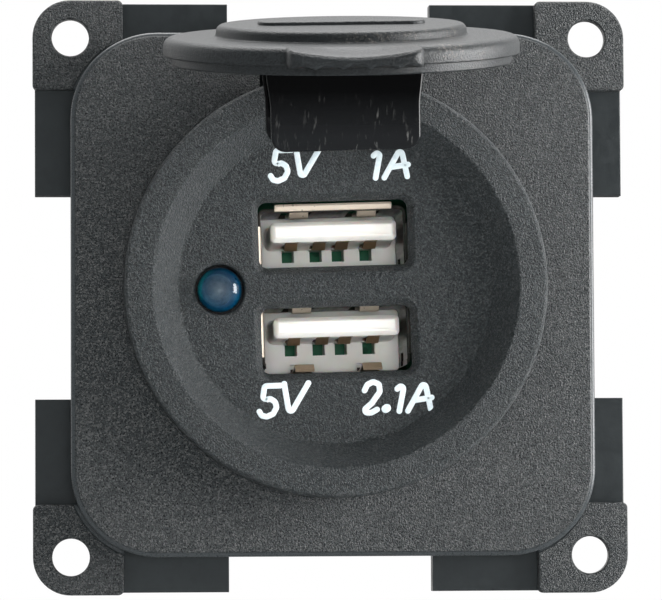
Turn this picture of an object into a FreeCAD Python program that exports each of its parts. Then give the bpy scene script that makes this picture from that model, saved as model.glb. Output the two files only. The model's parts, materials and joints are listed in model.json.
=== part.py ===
import FreeCAD, Part
import os
import math
import Sketcher

# Dual USB charging socket on a square screw-on plate.
# Frame in mm: X to the right, Z up, the front looks towards -Y.
# The origin is the centre of the four fixing holes, on the front face of their tabs.
# A depth is measured towards the front: depth 4.2 is Y = -4.2.

os.makedirs("parts", exist_ok=True)
doc = FreeCAD.newDocument("dual_usb_socket")
sheet = doc.addObject("Spreadsheet::Sheet", "Sizes")
V = FreeCAD.Vector


class Size:
    """A number together with the formula that it comes from."""

    def __init__(self, value, text):
        self.value = float(value)
        self.text = text

    def __add__(self, other):
        other = as_size(other)
        return Size(self.value + other.value, f"({self.text} + {other.text})")

    def __sub__(self, other):
        other = as_size(other)
        return Size(self.value - other.value, f"({self.text} - {other.text})")

    def __mul__(self, other):
        other = as_size(other)
        return Size(self.value * other.value, f"{self.text} * {other.text}")

    def __truediv__(self, other):
        other = as_size(other)
        return Size(self.value / other.value, f"({self.text}) / {other.text}")

    def __radd__(self, other):
        return as_size(other) + self

    def __rsub__(self, other):
        return as_size(other) - self

    def __rmul__(self, other):
        return as_size(other) * self

    def __neg__(self):
        return as_size(-1) * self


def as_size(number):
    if isinstance(number, Size):
        return number
    return Size(number, f"({number})")


row_count = 0


def size(alias, value, note):
    """One driving size: a row of the sheet with its name, number and meaning."""
    global row_count
    row_count += 1
    sheet.set(f"A{row_count}", alias)
    sheet.set(f"B{row_count}", str(value))
    sheet.setAlias(f"B{row_count}", alias)
    sheet.set(f"C{row_count}", note)
    return Size(value, f"Sizes.{alias}")


# Driving sizes: square plate, tabs and legs
plate_corner = size("plate_corner", 7.6, "corner radius of the plate")
plate_front = size("plate_front", 4.2, "plate front before the tab faces")
plate_wall = size("plate_wall", 3.2, "thickness of the plate's front wall")
plate_edge = size("plate_edge", 0.35, "bevel of the plate's front edge")
skirt_wall = size("skirt_wall", 2.0, "wall of the skirt behind the plate")
skirt_depth = size("skirt_depth", 3.2, "skirt end behind the tab faces")
hole_spacing = size("hole_spacing", 46.0, "fixing hole centres, both ways")
fixing_hole = size("fixing_hole", 3.3, "diameter of the fixing holes")
hole_relief = size("hole_relief", 0.75, "square recess behind a fixing hole, wider all round")
tab_margin = size("tab_margin", 3.35, "tab edge outside the hole centre")
tab_reach = size("tab_reach", 8.0, "side of a tab, from its outer corner")
tab_height = size("tab_height", 1.2, "tab face before the leg face")
leg_inset = size("leg_inset", 0.2, "leg side inside the tab side")
leg_depth = size("leg_depth", 3.2, "leg end behind the tab faces")
leg_gap = size("leg_gap", 18.1, "free width between two legs")

# Driving sizes: round socket body
body_right = size("body_right", 0.1, "body axis right of the hole centre")
body_up = size("body_up", 0.6, "body axis above the hole centre")
body_twist = size("body_twist", 1.6, "body turned anticlockwise, degrees")
flange_over = size("flange_over", 4.3, "flange wider than the barrel")
flange_height = size("flange_height", 3.0, "rim before the plate")
rim_band = size("rim_band", 2.5, "width of the rim band")
funnel_run = size("funnel_run", 2.3, "width of the funnel slope")
floor_lift = size("floor_lift", 0.8, "floor before the plate")
floor_wall = size("floor_wall", 1.8, "thickness of the floor")
barrel_room = size("barrel_room", 0.15, "room between lamp collar and barrel")
barrel_wall = size("barrel_wall", 1.6, "wall of the barrel")
rim_notch = size("rim_notch", 4.3, "depth of the strap notch in the flange")
bore_clear = size("bore_clear", 0.15, "clearance round the barrel")
port_pitch = size("port_pitch", 8.4, "distance between the two ports")
port_hole_pitch = size("port_hole_pitch", 9.3, "distance between the two port holes")
port_hole_corner = size("port_hole_corner", 0.7, "port hole corner radius")
port_hole_bevel = size("port_hole_bevel", 0.6, "bevel round the port hole")
port_lip = size("port_lip", 0.8, "thin part of the floor before the shell mouths")
port_room = size("port_room", 0.6, "recess behind the port holes, wider than a shell")
notch_width = size("notch_width", 12.0, "strap notch in flange and plate")

# Driving sizes: ring nut
nut_wall = size("nut_wall", 3.15, "wall of the ring nut")
nut_height = size("nut_height", 6.0, "thickness of the ring nut")
nut_grips = size("nut_grips", 8, "number of grip notches")
nut_grip_radius = size("nut_grip_radius", 1.5, "radius of a grip notch")

# Driving sizes: cap and its hinge
hinge_inset = size("hinge_inset", 1.5, "hinge axis inside the flange edge")
hinge_clear = size("hinge_clear", 0.3, "gap between strap foot and strap end")
cap_angle = size("cap_angle", 79.5, "opening angle, degrees")
cap_inset = size("cap_inset", 1.0, "cap disc inside the rim")
cap_lift = size("cap_lift", 2.5, "disc back above the floor when shut")
cap_thick = size("cap_thick", 1.55, "thickness of the cap disc")
cap_ring_over = size("cap_ring_over", 0.6, "ring wider than the funnel foot")
cap_ring_height = size("cap_ring_height", 0.8, "height of the ring under the disc")
crown_radius = size("crown_radius", 10.55, "raised disc on the cap, radius")
crown_height = size("crown_height", 1.0, "raised disc on the cap, height")
relief_width = size("relief_width", 14.0, "plain oblong on the raised disc, width")
relief_height = size("relief_height", 4.4, "plain oblong on the raised disc, height")
relief_lift = size("relief_lift", 0.3, "plain oblong on the raised disc, relief")
lip_width = size("lip_width", 11.0, "thumb lip width")
lip_reach = size("lip_reach", 2.8, "thumb lip beyond the disc")
lip_thick = size("lip_thick", 1.8, "thickness of the thumb lip")
lip_corner = size("lip_corner", 1.2, "corner radius of the thumb lip")
lip_neck = size("lip_neck", 2.2, "sloped neck of the thumb lip")
plug_side = size("plug_side", 0.15, "gap beside a plug in its shell")
plug_gap = size("plug_gap", 0.55, "gap above and below a plug")
plug_raise = size("plug_raise", 0.05, "plug nearer the tongue")
plug_spread = size("plug_spread", 0.9, "plug root wider than its tip")
plug_length = size("plug_length", 6.85, "length of a plug below the ring")
plug_straight = size("plug_straight", 3.9, "part of a plug with straight sides")
plug_corner = size("plug_corner", 1.2, "corner radius of a plug tip")
strap_width = size("strap_width", 11.0, "width of the hinge strap")
strap_thick = size("strap_thick", 1.0, "thickness of the hinge strap")
foot_extra = size("foot_extra", 1.0, "strap foot wider than the notch")
foot_thick = size("foot_thick", 0.8, "thickness of the strap foot")
strap_overlap = size("strap_overlap", 0.6, "strap end inside the cap disc")
strap_slot_above = size("strap_slot_above", 4.0, "strap slot above the hinge axis")
strap_slot_below = size("strap_slot_below", 1.65, "strap slot below the hinge axis")

# Driving sizes: ports
shell_width = size("shell_width", 13.1, "outer width of a shell")
shell_height = size("shell_height", 5.72, "outer height of a shell")
shell_sheet = size("shell_sheet", 0.3, "sheet thickness of a shell")
shell_depth = size("shell_depth", 13.1, "length of a shell")
shell_corner = size("shell_corner", 0.7, "outer corner radius of a shell")
shell_set = size("shell_set", 0.1, "shell mouth behind the thin part of the floor")
lip_length = size("lip_length", 0.8, "length of the flared mouth")
lip_flare = size("lip_flare", 24.0, "flare of the mouth, degrees")
lip_cut = size("lip_cut", 1.5, "corner cut-out of the mouth")
finger_offset = size("finger_offset", 3.05, "spring finger beside the middle")
finger_width = size("finger_width", 2.0, "width of a spring finger")
finger_slot = size("finger_slot", 0.4, "slot round a spring finger")
finger_length = size("finger_length", 6.5, "length of a spring finger")
finger_start = size("finger_start", 1.9, "finger window behind the mouth")
finger_dip = size("finger_dip", 0.4, "inward bow of an upper finger")
finger_dip_low = size("finger_dip_low", 0.12, "inward bow of a lower finger")
tongue_side = size("tongue_side", 0.65, "gap beside the tongue")
tongue_over = size("tongue_over", 0.88, "gap on the tongue's bare side")
tongue_thick = size("tongue_thick", 1.95, "thickness of the tongue")
tongue_set = size("tongue_set", 0.5, "tongue tip behind the mouth")
base_thick = size("base_thick", 3.6, "thickness of the insulator base")
window_sill = size("window_sill", 1.15, "base left below each window")
window_width = size("window_width", 1.1, "width of the window under a contact")
contact_width = size("contact_width", 1.0, "width of a contact")
contact_thick = size("contact_thick", 0.22, "thickness of a contact")
contact_inner = size("contact_inner", 1.0, "inner contacts beside the middle")
contact_outer = size("contact_outer", 3.5, "outer contacts beside the middle")
contact_set = size("contact_set", 0.6, "contact end behind the tongue tip")

# Driving sizes: lamp
lamp_gap = size("lamp_gap", 0.82, "wall between lamp hole and port recess")
lamp_radius = size("lamp_radius", 1.95, "radius of the lamp dome")
lamp_clear = size("lamp_clear", 0.18, "clearance round the lamp")
lamp_shoulder = size("lamp_shoulder", 0.4, "lamp collar wider than the dome")
lamp_collar_thick = size("lamp_collar_thick", 0.8, "thickness of the lamp's collar")
lead_side = size("lead_side", 0.5, "side of a lamp lead")
lead_gap = size("lead_gap", 1.27, "lead beside the lamp axis")

# Driving sizes: boards and what stands on them
power_inset = size("power_inset", 3.1, "converter board inside the barrel wall")
power_rear = size("power_rear", 3.0, "bare end of the converter board")
power_clear = size("power_clear", 1.5, "gap between board end and cover")
part_gap = size("part_gap", 0.5, "gap between components")
chip_start = size("chip_start", 3.0, "chip behind the port board")
board_thick = size("board_thick", 1.2, "thickness of both boards")
power_down = size("power_down", 3.0, "converter board below the axis")
pin_side = size("pin_side", 0.64, "side of a board pin")
pin_pitch = size("pin_pitch", 2.54, "pitch of the board pins")
pin_length = size("pin_length", 3.0, "length of a board pin")
coil_radius = size("coil_radius", 3.6, "radius of the inductor")
coil_height = size("coil_height", 5.0, "height of the inductor")
coil_waist = size("coil_waist", 2.0, "waist radius of its core")
coil_flange = size("coil_flange", 0.8, "end plate of its core")
big_can_radius = size("big_can_radius", 3.15, "input capacitor radius")
big_can_height = size("big_can_height", 7.5, "input capacitor height")
small_can_radius = size("small_can_radius", 2.5, "output capacitor radius")
small_can_height = size("small_can_height", 5.5, "output capacitor height")
chip_width = size("chip_width", 5.0, "converter chip width")
chip_length = size("chip_length", 4.0, "converter chip length")
chip_height = size("chip_height", 1.5, "converter chip height")
diode_width = size("diode_width", 4.3, "diode width")
diode_length = size("diode_length", 2.6, "diode length")
diode_height = size("diode_height", 2.2, "diode height")

# Driving sizes: rear cover and terminals
cover_plug = size("cover_plug", 2.5, "cover's plug inside the barrel")
cover_thick = size("cover_thick", 2.0, "cover's end plate")
blade_width = size("blade_width", 6.3, "width of a blade terminal")
blade_thick = size("blade_thick", 0.8, "thickness of a blade terminal")
blade_out = size("blade_out", 8.0, "blade beyond the cover")
blade_beside = size("blade_beside", 5.5, "blade beside the middle")
blade_hole = size("blade_hole", 1.6, "diameter of the hole in a blade")
blade_lap = size("blade_lap", 1.4, "blade on the converter board")
doc.recompute()

# Widths and radii that follow from the sizes
plate_side = hole_spacing * 1
inner_width = shell_width - 2 * shell_sheet
inner_height = shell_height - 2 * shell_sheet
port_recess_width = shell_width + 2 * port_room
port_recess_height = port_pitch + shell_height + 2 * port_room
lamp_left = port_recess_width / 2 + lamp_gap + lamp_radius + lamp_clear
lamp_collar = lamp_radius + lamp_shoulder
barrel_inner = lamp_left + lamp_collar + barrel_room
barrel_radius = barrel_inner + barrel_wall
barrel_bore = barrel_radius + bore_clear
flange_radius = barrel_radius + flange_over
rim_radius = flange_radius - rim_band
funnel_radius = rim_radius - funnel_run
nut_radius = barrel_bore + nut_wall
hinge_up = flange_radius - hinge_inset
cap_radius = rim_radius - cap_inset
cap_ring_radius = funnel_radius + cap_ring_over
tongue_width = inner_width - 2 * tongue_side
tongue_up = inner_height / 2 - tongue_over - tongue_thick / 2
contact_room = inner_height - tongue_over - tongue_thick
window_height = contact_room - window_sill
plug_thick = contact_room - 2 * plug_gap
plug_drop = inner_height / 2 - contact_room / 2 - plug_raise
plug_width = inner_width - 2 * plug_side
plug_root = plug_width + plug_spread
power_width = 2 * (barrel_inner - power_inset)
small_can_right = small_can_radius + 3 * part_gap - power_width / 2
power_length = chip_start + chip_length + part_gap + 2 * big_can_radius + power_rear

# Depths that follow from the sizes
rim_depth = plate_front + flange_height
floor_depth = plate_front + floor_lift
floor_back = floor_depth - floor_wall
plate_back = plate_front - plate_wall
hinge_depth = plate_back + foot_thick + hinge_clear + strap_thick / 2
mouth_depth = floor_depth - port_lip - shell_set
shell_back = mouth_depth - shell_depth
board_back = shell_back - board_thick
power_top = board_thick / 2 - power_down
power_back = board_back - power_length
barrel_depth = cover_plug + power_clear - power_back


def bind(obj, prop, formula):
    obj.setExpression(prop, as_size(formula).text)


class Piece:
    """A body whose sketches lie at a stated depth and are padded or pocketed."""

    def __init__(self, name):
        self.body = doc.addObject("PartDesign::Body", name)
        self.body.Label = name
        self.name = name
        self.steps = 0

    def origin(self, role):
        return [f for f in self.body.Origin.OriginFeatures if f.Role == role][0]

    def sketch(self, offset, plane="XZ_Plane"):
        """Front view (X, Z) by default; XY_Plane is seen from above, YZ_Plane from the side."""
        self.steps += 1
        sk = self.body.newObject("Sketcher::SketchObject", f"{self.name}_sketch{self.steps}")
        sk.AttachmentSupport = (self.origin(plane), [""])
        sk.MapMode = "FlatFace"
        sk.AttachmentOffset = FreeCAD.Placement(V(0, 0, as_size(offset).value), FreeCAD.Rotation())
        bind(sk, "AttachmentOffset.Base.z", offset)
        return sk

    def feature(self, kind, sk, length, back=False, taper=None):
        self.steps += 1
        feat = self.body.newObject(f"PartDesign::{kind}", f"{self.name}_{kind.lower()}{self.steps}")
        feat.Profile = sk
        feat.Length = as_size(length).value
        bind(feat, "Length", length)
        feat.Reversed = back
        if taper is not None:
            feat.TaperAngle = as_size(taper).value
            bind(feat, "TaperAngle", taper)
        sk.Visibility = False
        return feat

    def pad(self, sk, length, back=False, taper=None):
        return self.feature("Pad", sk, length, back, taper)

    def cut(self, sk, length, front=False, taper=None):
        """A pocket goes to the back of its sketch, or to the front when asked."""
        return self.feature("Pocket", sk, length, front, taper)

    def turn(self, sk):
        self.steps += 1
        feat = self.body.newObject("PartDesign::Revolution", f"{self.name}_turn{self.steps}")
        feat.Profile = sk
        feat.ReferenceAxis = (sk, ["V_Axis"])
        feat.Angle = 360
        return feat

    def polar(self, originals, count):
        self.steps += 1
        feat = self.body.newObject("PartDesign::PolarPattern", f"{self.name}_pattern{self.steps}")
        feat.Originals = originals
        feat.Axis = (self.origin("Y_Axis"), [""])
        feat.Angle = 360
        feat.Occurrences = int(as_size(count).value)
        bind(feat, "Occurrences", count)
        self.body.Tip = feat
        return feat

    def mirror(self, originals, plane="YZ_Plane"):
        self.steps += 1
        feat = self.body.newObject("PartDesign::Mirrored", f"{self.name}_mirror{self.steps}")
        feat.Originals = originals
        feat.MirrorPlane = (self.origin(plane), [""])
        self.body.Tip = feat
        return feat

    def soften(self, kind, edge_test, amount):
        """Fillet or chamfer on the edges of the tip shape that the test picks."""
        doc.recompute()
        tip = self.body.Tip
        names = [f"Edge{i + 1}" for i, edge in enumerate(tip.Shape.Edges) if edge_test(edge)]
        self.steps += 1
        feat = self.body.newObject(f"PartDesign::{kind}", f"{self.name}_{kind.lower()}{self.steps}")
        feat.Base = (tip, names)
        prop = "Radius" if kind == "Fillet" else "Size"
        setattr(feat, prop, as_size(amount).value)
        bind(feat, prop, amount)
        return feat


def outline(sk, points):
    """Closed outline; a point (x, y, r) starts an arc of radius r to the next point."""
    points = [tuple(as_size(c) for c in p) for p in points]
    first = sk.GeometryCount
    count = len(points)
    for i, p in enumerate(points):
        q = points[(i + 1) % count]
        a = V(p[0].value, p[1].value, 0)
        b = V(q[0].value, q[1].value, 0)
        if len(p) < 3:
            sk.addGeometry(Part.LineSegment(a, b), False)
            continue
        r = p[2].value
        half = (b - a).Length / 2
        side = V(-(b - a).y, (b - a).x, 0).normalize()
        centre = (a + b) * 0.5 + side * math.sqrt(max(r * r - half * half, 0))
        middle = centre - side * r
        sk.addGeometry(Part.Arc(a, middle, b), False)
    for i, p in enumerate(points):
        geo = first + i
        nxt = first + (i + 1) % count
        sk.addConstraint(Sketcher.Constraint("Coincident", geo, 2, nxt, 1))
        for kind, value in (("DistanceX", p[0]), ("DistanceY", p[1])):
            index = sk.addConstraint(Sketcher.Constraint(kind, -1, 1, geo, 1, value.value))
            sk.setExpression(f"Constraints[{index}]", value.text)
        if len(p) > 2:
            index = sk.addConstraint(Sketcher.Constraint("Radius", geo, p[2].value))
            sk.setExpression(f"Constraints[{index}]", p[2].text)


def rounded(sk, x, y, width, height, corner):
    """Rounded rectangle about (x, y), anticlockwise."""
    x, y = as_size(x), as_size(y)
    right, left = x + width / 2, x - width / 2
    top, low = y + height / 2, y - height / 2
    outline(sk, [(left + corner, low), (right - corner, low, corner),
                 (right, low + corner), (right, top - corner, corner),
                 (right - corner, top), (left + corner, top, corner),
                 (left, top - corner), (left, low + corner, corner)])


def block(sk, x, y, width, height):
    """Plain rectangle about (x, y)."""
    x, y = as_size(x), as_size(y)
    right, left = x + width / 2, x - width / 2
    top, low = y + height / 2, y - height / 2
    outline(sk, [(left, low), (right, low), (right, top), (left, top)])


def circle(sk, x, y, radius):
    x, y, radius = as_size(x), as_size(y), as_size(radius)
    geo = sk.addGeometry(Part.Circle(V(x.value, y.value, 0), V(0, 0, 1), radius.value), False)
    for kind, value in (("DistanceX", x), ("DistanceY", y)):
        index = sk.addConstraint(Sketcher.Constraint(kind, -1, 1, geo, 3, value.value))
        sk.setExpression(f"Constraints[{index}]", value.text)
    index = sk.addConstraint(Sketcher.Constraint("Radius", geo, radius.value))
    sk.setExpression(f"Constraints[{index}]", radius.text)


def on_body_axis(piece):
    """Put a piece that is drawn about the socket's own axis in its place."""
    body = piece.body
    turn = FreeCAD.Rotation(V(0, -1, 0), body_twist.value)
    body.Placement = FreeCAD.Placement(V(body_right.value, 0, body_up.value), turn)
    bind(body, "Placement.Base.x", body_right)
    bind(body, "Placement.Base.z", body_up)
    bind(body, "Placement.Rotation.Angle", body_twist)


def square_edge(edge, depth):
    """True for an edge that lies in the front view plane at a depth."""
    return all(abs(v.Y + depth) < 1e-6 for v in edge.Vertexes) and abs(edge.BoundBox.YLength) < 1e-6


# Module plate: four legs under their tabs, plate with skirt, holes
def make_module_plate():
    piece = Piece("module_plate")
    outer = hole_spacing + 2 * tab_margin
    leg_side = outer - 2 * leg_inset
    sk = piece.sketch(-tab_height)
    rounded(sk, 0, 0, leg_side, leg_side, tab_margin - leg_inset)
    piece.pad(sk, leg_depth - tab_height, back=True)
    sk = piece.sketch(-tab_height)
    far = outer / 2 + 1
    for sign in (1, -1):
        block(sk, 0, sign * (plate_side / 2 + far) / 2, leg_gap, far - plate_side / 2)
        block(sk, sign * (plate_side / 2 + far) / 2, 0, far - plate_side / 2, leg_gap)
    piece.cut(sk, leg_depth - tab_height)
    sk = piece.sketch(plate_front)
    rounded(sk, 0, 0, plate_side, plate_side, plate_corner)
    piece.pad(sk, plate_front + skirt_depth, back=True)
    sk = piece.sketch(0)
    edge = outer / 2
    inner = edge - tab_reach
    round_corner = tab_margin
    outline(sk, [(inner, inner), (edge, inner), (edge, edge - round_corner, round_corner),
                 (edge - round_corner, edge), (inner, edge)])
    tab = piece.pad(sk, tab_height, back=True)
    piece.polar([tab], 4)
    sk = piece.sketch(plate_back)
    cavity = plate_side - 2 * skirt_wall
    rounded(sk, 0, 0, cavity, cavity, plate_corner - skirt_wall)
    piece.cut(sk, plate_back + leg_depth)
    sk = piece.sketch(0)
    for right in (1, -1):
        for up in (1, -1):
            circle(sk, right * hole_spacing / 2, up * hole_spacing / 2, fixing_hole / 2)
    piece.cut(sk, leg_depth)
    sk = piece.sketch(-leg_depth)
    for right in (1, -1):
        for up in (1, -1):
            recess = fixing_hole + 2 * hole_relief
            block(sk, right * hole_spacing / 2, up * hole_spacing / 2, recess, recess)
    piece.cut(sk, leg_depth - tab_height, front=True)
    piece.soften("Chamfer", lambda e: square_edge(e, plate_front.value), plate_edge)
    sk = piece.sketch(plate_front)
    circle(sk, body_right, body_up, barrel_bore)
    piece.cut(sk, plate_wall)
    return piece


# Slot for the hinge strap: cut square to the twisted body axis
def cut_strap_slot(piece):
    tool = Piece("strap_slot")
    top = hinge_up + strap_slot_above
    low = hinge_up - strap_slot_below
    sk = tool.sketch(plate_front + 1)
    block(sk, 0, (top + low) / 2, notch_width, top - low)
    tool.pad(sk, plate_wall + 1, back=True)
    sk = tool.sketch(plate_back)
    block(sk, 0, (top + low) / 2, notch_width + foot_extra, top - low)
    tool.pad(sk, foot_thick)
    on_body_axis(tool)
    cut = doc.addObject("Part::Cut", "plate_with_slot")
    cut.Base = piece.body
    cut.Tool = tool.body
    return cut


# Socket body: turned flange, funnel, floor and barrel, then its openings
def make_socket_body():
    piece = Piece("socket_body")
    sk = piece.sketch(0, "XY_Plane")
    outline(sk, [(0, -floor_depth), (0, -floor_back), (barrel_inner, -floor_back),
                 (barrel_inner, barrel_depth),
                 (barrel_radius, barrel_depth), (barrel_radius, -plate_front),
                 (flange_radius, -plate_front), (flange_radius, -rim_depth), (rim_radius, -rim_depth),
                 (funnel_radius, -floor_depth)])
    piece.turn(sk)
    sk = piece.sketch(floor_depth)
    for up in (1, -1):
        rounded(sk, 0, up * port_hole_pitch / 2, shell_width, shell_height, port_hole_corner)
    circle(sk, -lamp_left, 0, lamp_radius + lamp_clear)
    piece.cut(sk, floor_wall)
    sk = piece.sketch(floor_back)
    rounded(sk, 0, 0, port_recess_width, port_recess_height, port_hole_corner)
    piece.cut(sk, floor_wall - port_lip, front=True)

    def port_rim(edge):
        wide = abs(edge.BoundBox.Center.x) < shell_width.value / 2 + 0.01
        return square_edge(edge, floor_depth.value) and wide and abs(edge.BoundBox.Center.z) > 0.5

    piece.soften("Chamfer", port_rim, port_hole_bevel)
    sk = piece.sketch(rim_depth + 1)
    low = flange_radius - rim_notch
    block(sk, 0, low + rim_notch, notch_width, 2 * rim_notch)
    piece.cut(sk, flange_height + 1)
    on_body_axis(piece)
    return piece


# Ring nut: clamps the plate between itself and the flange
def make_ring_nut():
    piece = Piece("ring_nut")
    sk = piece.sketch(0, "XY_Plane")
    outline(sk, [(barrel_bore, -plate_back), (nut_radius, -plate_back),
                 (nut_radius, nut_height - plate_back), (barrel_bore, nut_height - plate_back)])
    piece.turn(sk)
    sk = piece.sketch(plate_back - nut_height)
    circle(sk, nut_radius + nut_grip_radius / 2, 0, nut_grip_radius)
    grip = piece.cut(sk, nut_height - 1, front=True)
    piece.polar([grip], nut_grips)
    on_body_axis(piece)
    return piece


# Cap: drawn shut about its hinge axis, then swung open about it
def make_cap():
    piece = Piece("cap")
    disc_back = floor_depth + cap_lift - hinge_depth
    ring_back = disc_back - cap_ring_height
    disc_front = disc_back + cap_thick
    crown_front = disc_front + crown_height
    sk = piece.sketch(-hinge_up, "XY_Plane")
    outline(sk, [(0, -ring_back), (0, -crown_front), (crown_radius - 0.3, -crown_front),
                 (crown_radius, -disc_front), (cap_radius - 0.4, -disc_front),
                 (cap_radius, 0.4 - disc_front), (cap_radius, -disc_back),
                 (cap_ring_radius, -disc_back), (cap_ring_radius, -ring_back)])
    piece.turn(sk)
    sk = piece.sketch(crown_front)
    rounded(sk, 0, -hinge_up, relief_width, relief_height, relief_height / 3)
    piece.pad(sk, relief_lift)
    sk = piece.sketch(disc_front)
    half = lip_width / 2
    root = 2.5 - hinge_up - cap_radius
    tip = -hinge_up - cap_radius - lip_reach
    r = lip_corner
    outline(sk, [(half + 1, root), (-half - 1, root), (-half, root - lip_neck), (-half, tip + r, r),
                 (r - half, tip), (half - r, tip, r), (half, tip + r), (half, root - lip_neck)])
    piece.pad(sk, lip_thick, back=True)
    for up in (1, -1):
        middle = up * port_pitch / 2 - plug_drop - hinge_up
        sk = piece.sketch(middle - plug_thick / 2, "XY_Plane")
        tip_depth = ring_back - plug_length
        waist = tip_depth + plug_straight
        r = plug_corner
        outline(sk, [(-plug_root / 2, -ring_back - 0.5), (-plug_width / 2 - 0.05, -waist),
                     (-plug_width / 2, -tip_depth - r, r), (r - plug_width / 2, -tip_depth),
                     (plug_width / 2 - r, -tip_depth, r), (plug_width / 2, -tip_depth - r),
                     (plug_width / 2 + 0.05, -waist), (plug_root / 2, -ring_back - 0.5)])
        piece.pad(sk, plug_thick)
    sk = piece.sketch(-strap_width / 2, "YZ_Plane")
    end_up = cap_radius - hinge_up - strap_overlap
    end_depth = disc_back + strap_overlap
    run = math.hypot(end_up.value, end_depth.value)
    along = (end_up * (1 / run), end_depth * (1 / run))
    half = strap_thick / 2

    def strap_point(distance, side):
        up = along[0] * distance + along[1] * side
        depth = along[1] * distance - along[0] * side
        return (-depth, up)

    outline(sk, [strap_point(0, half), strap_point(run, half), strap_point(run, -half),
                 strap_point(0, -half) + (half,), strap_point(-half, 0) + (half,)])
    piece.pad(sk, strap_width)
    body = piece.body
    twist = body_twist.value
    turn = FreeCAD.Rotation(0, -twist, -cap_angle.value)
    rise = FreeCAD.Rotation(V(0, -1, 0), twist).multVec(V(0, 0, hinge_up.value))
    body.Placement = FreeCAD.Placement(V(body_right.value, -hinge_depth.value, body_up.value) + rise, turn)
    angle = f"{body_twist.text} * 1deg"
    bind(body, "Placement.Base.x", Size(0, f"{body_right.text} - {hinge_up.text} * sin({angle})"))
    bind(body, "Placement.Base.y", -hinge_depth)
    bind(body, "Placement.Base.z", Size(0, f"{body_up.text} + {hinge_up.text} * cos({angle})"))
    return piece


# Strap foot: wider than the slot it looks out of, so the ring nut traps it
def make_cap_anchor():
    piece = Piece("cap_anchor")
    top = hinge_up + strap_slot_above - 0.1
    low = hinge_up - strap_slot_below + 0.1
    sk = piece.sketch(plate_back)
    block(sk, 0, (top + low) / 2, notch_width + foot_extra - 0.2, top - low)
    piece.pad(sk, foot_thick)
    on_body_axis(piece)
    return piece


# Ports: sheet shell with flared mouth and spring fingers, white tongue, four contacts
def make_usb_shell(name, up):
    piece = Piece(name)
    middle = up * port_pitch / 2
    inner_corner = shell_corner - shell_sheet
    sk = piece.sketch(mouth_depth - lip_length)
    rounded(sk, 0, middle, shell_width, shell_height, shell_corner)
    piece.pad(sk, shell_depth - lip_length, back=True)
    sk = piece.sketch(mouth_depth - lip_length)
    rounded(sk, 0, middle, shell_width, shell_height, shell_corner)
    piece.pad(sk, lip_length, taper=lip_flare)
    sk = piece.sketch(mouth_depth - lip_length)
    rounded(sk, 0, middle, inner_width, inner_height, inner_corner)
    piece.cut(sk, shell_depth - lip_length)
    sk = piece.sketch(mouth_depth - lip_length)
    rounded(sk, 0, middle, inner_width, inner_height, inner_corner)
    piece.cut(sk, lip_length, front=True, taper=lip_flare)
    sk = piece.sketch(mouth_depth - lip_length)
    for right in (1, -1):
        for side in (1, -1):
            block(sk, right * shell_width / 2, middle + side * shell_height / 2, lip_cut, lip_cut)
    piece.cut(sk, lip_length, front=True)
    window_front = mouth_depth - finger_start
    window_width = finger_width + 2 * finger_slot
    window_length = finger_length + finger_slot
    sk = piece.sketch(middle - shell_height, "XY_Plane")
    for right in (1, -1):
        block(sk, right * finger_offset, window_length / 2 - window_front, window_width, window_length)
    piece.cut(sk, 2 * shell_height, front=True)
    sk = piece.sketch(finger_offset - finger_width / 2, "YZ_Plane")
    back = window_length - window_front
    for side, dip in ((1, finger_dip), (-1, finger_dip_low)):
        wall = middle + side * shell_height / 2
        inner = wall - side * shell_sheet
        knee = back - finger_length * 0.75
        tip = back - finger_length
        outline(sk, [(back, wall), (back, inner), (knee, inner - side * dip), (tip, inner),
                     (tip, wall), (knee, wall - side * dip)])
    finger = piece.pad(sk, finger_width)
    piece.mirror([finger])
    on_body_axis(piece)
    return piece


def make_usb_insulator(name, up):
    piece = Piece(name)
    middle = up * port_pitch / 2
    base_front = shell_back + base_thick
    tongue_tip = mouth_depth - tongue_set
    tongue_middle = middle + tongue_up
    sk = piece.sketch(base_front)
    rounded(sk, 0, middle, inner_width, inner_height, shell_corner - shell_sheet)
    piece.pad(sk, base_thick, back=True)
    sk = piece.sketch(base_front)
    block(sk, 0, tongue_middle, tongue_width, tongue_thick)
    piece.pad(sk, tongue_tip - base_front)
    piece.soften("Chamfer", lambda e: square_edge(e, tongue_tip.value), as_size(0.25))
    sk = piece.sketch(base_front)
    window_middle = tongue_middle - tongue_thick / 2 - window_height / 2
    for beside in (-contact_outer, -contact_inner, contact_inner, contact_outer):
        block(sk, beside, window_middle, window_width, window_height)
    piece.cut(sk, base_thick)
    on_body_axis(piece)
    return piece


def make_usb_contacts(name, up):
    """Four strips under the tongue; each is a solid of its own in one node."""
    under = up * port_pitch / 2 + tongue_up - tongue_thick / 2
    tip = mouth_depth - tongue_set - contact_set
    strips = []
    for i, beside in enumerate((-contact_outer, -contact_inner, contact_inner, contact_outer)):
        strip = doc.addObject("Part::Box", f"{name}_strip{i + 1}")
        bind(strip, "Length", contact_width)
        bind(strip, "Width", tip - shell_back)
        bind(strip, "Height", contact_thick)
        bind(strip, "Placement.Base.x", beside - contact_width / 2)
        bind(strip, "Placement.Base.y", -tip)
        bind(strip, "Placement.Base.z", under - contact_thick)
        strips.append(strip)
    return gather(name, strips)


def gather(name, solids):
    """Separate solids of one node, placed on the socket's own axis."""
    group = doc.addObject("Part::Compound", name)
    group.Label = name
    group.Links = solids
    turn = FreeCAD.Rotation(V(0, -1, 0), body_twist.value)
    group.Placement = FreeCAD.Placement(V(body_right.value, 0, body_up.value), turn)
    bind(group, "Placement.Base.x", body_right)
    bind(group, "Placement.Base.z", body_up)
    bind(group, "Placement.Rotation.Angle", body_twist)
    return group


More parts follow.
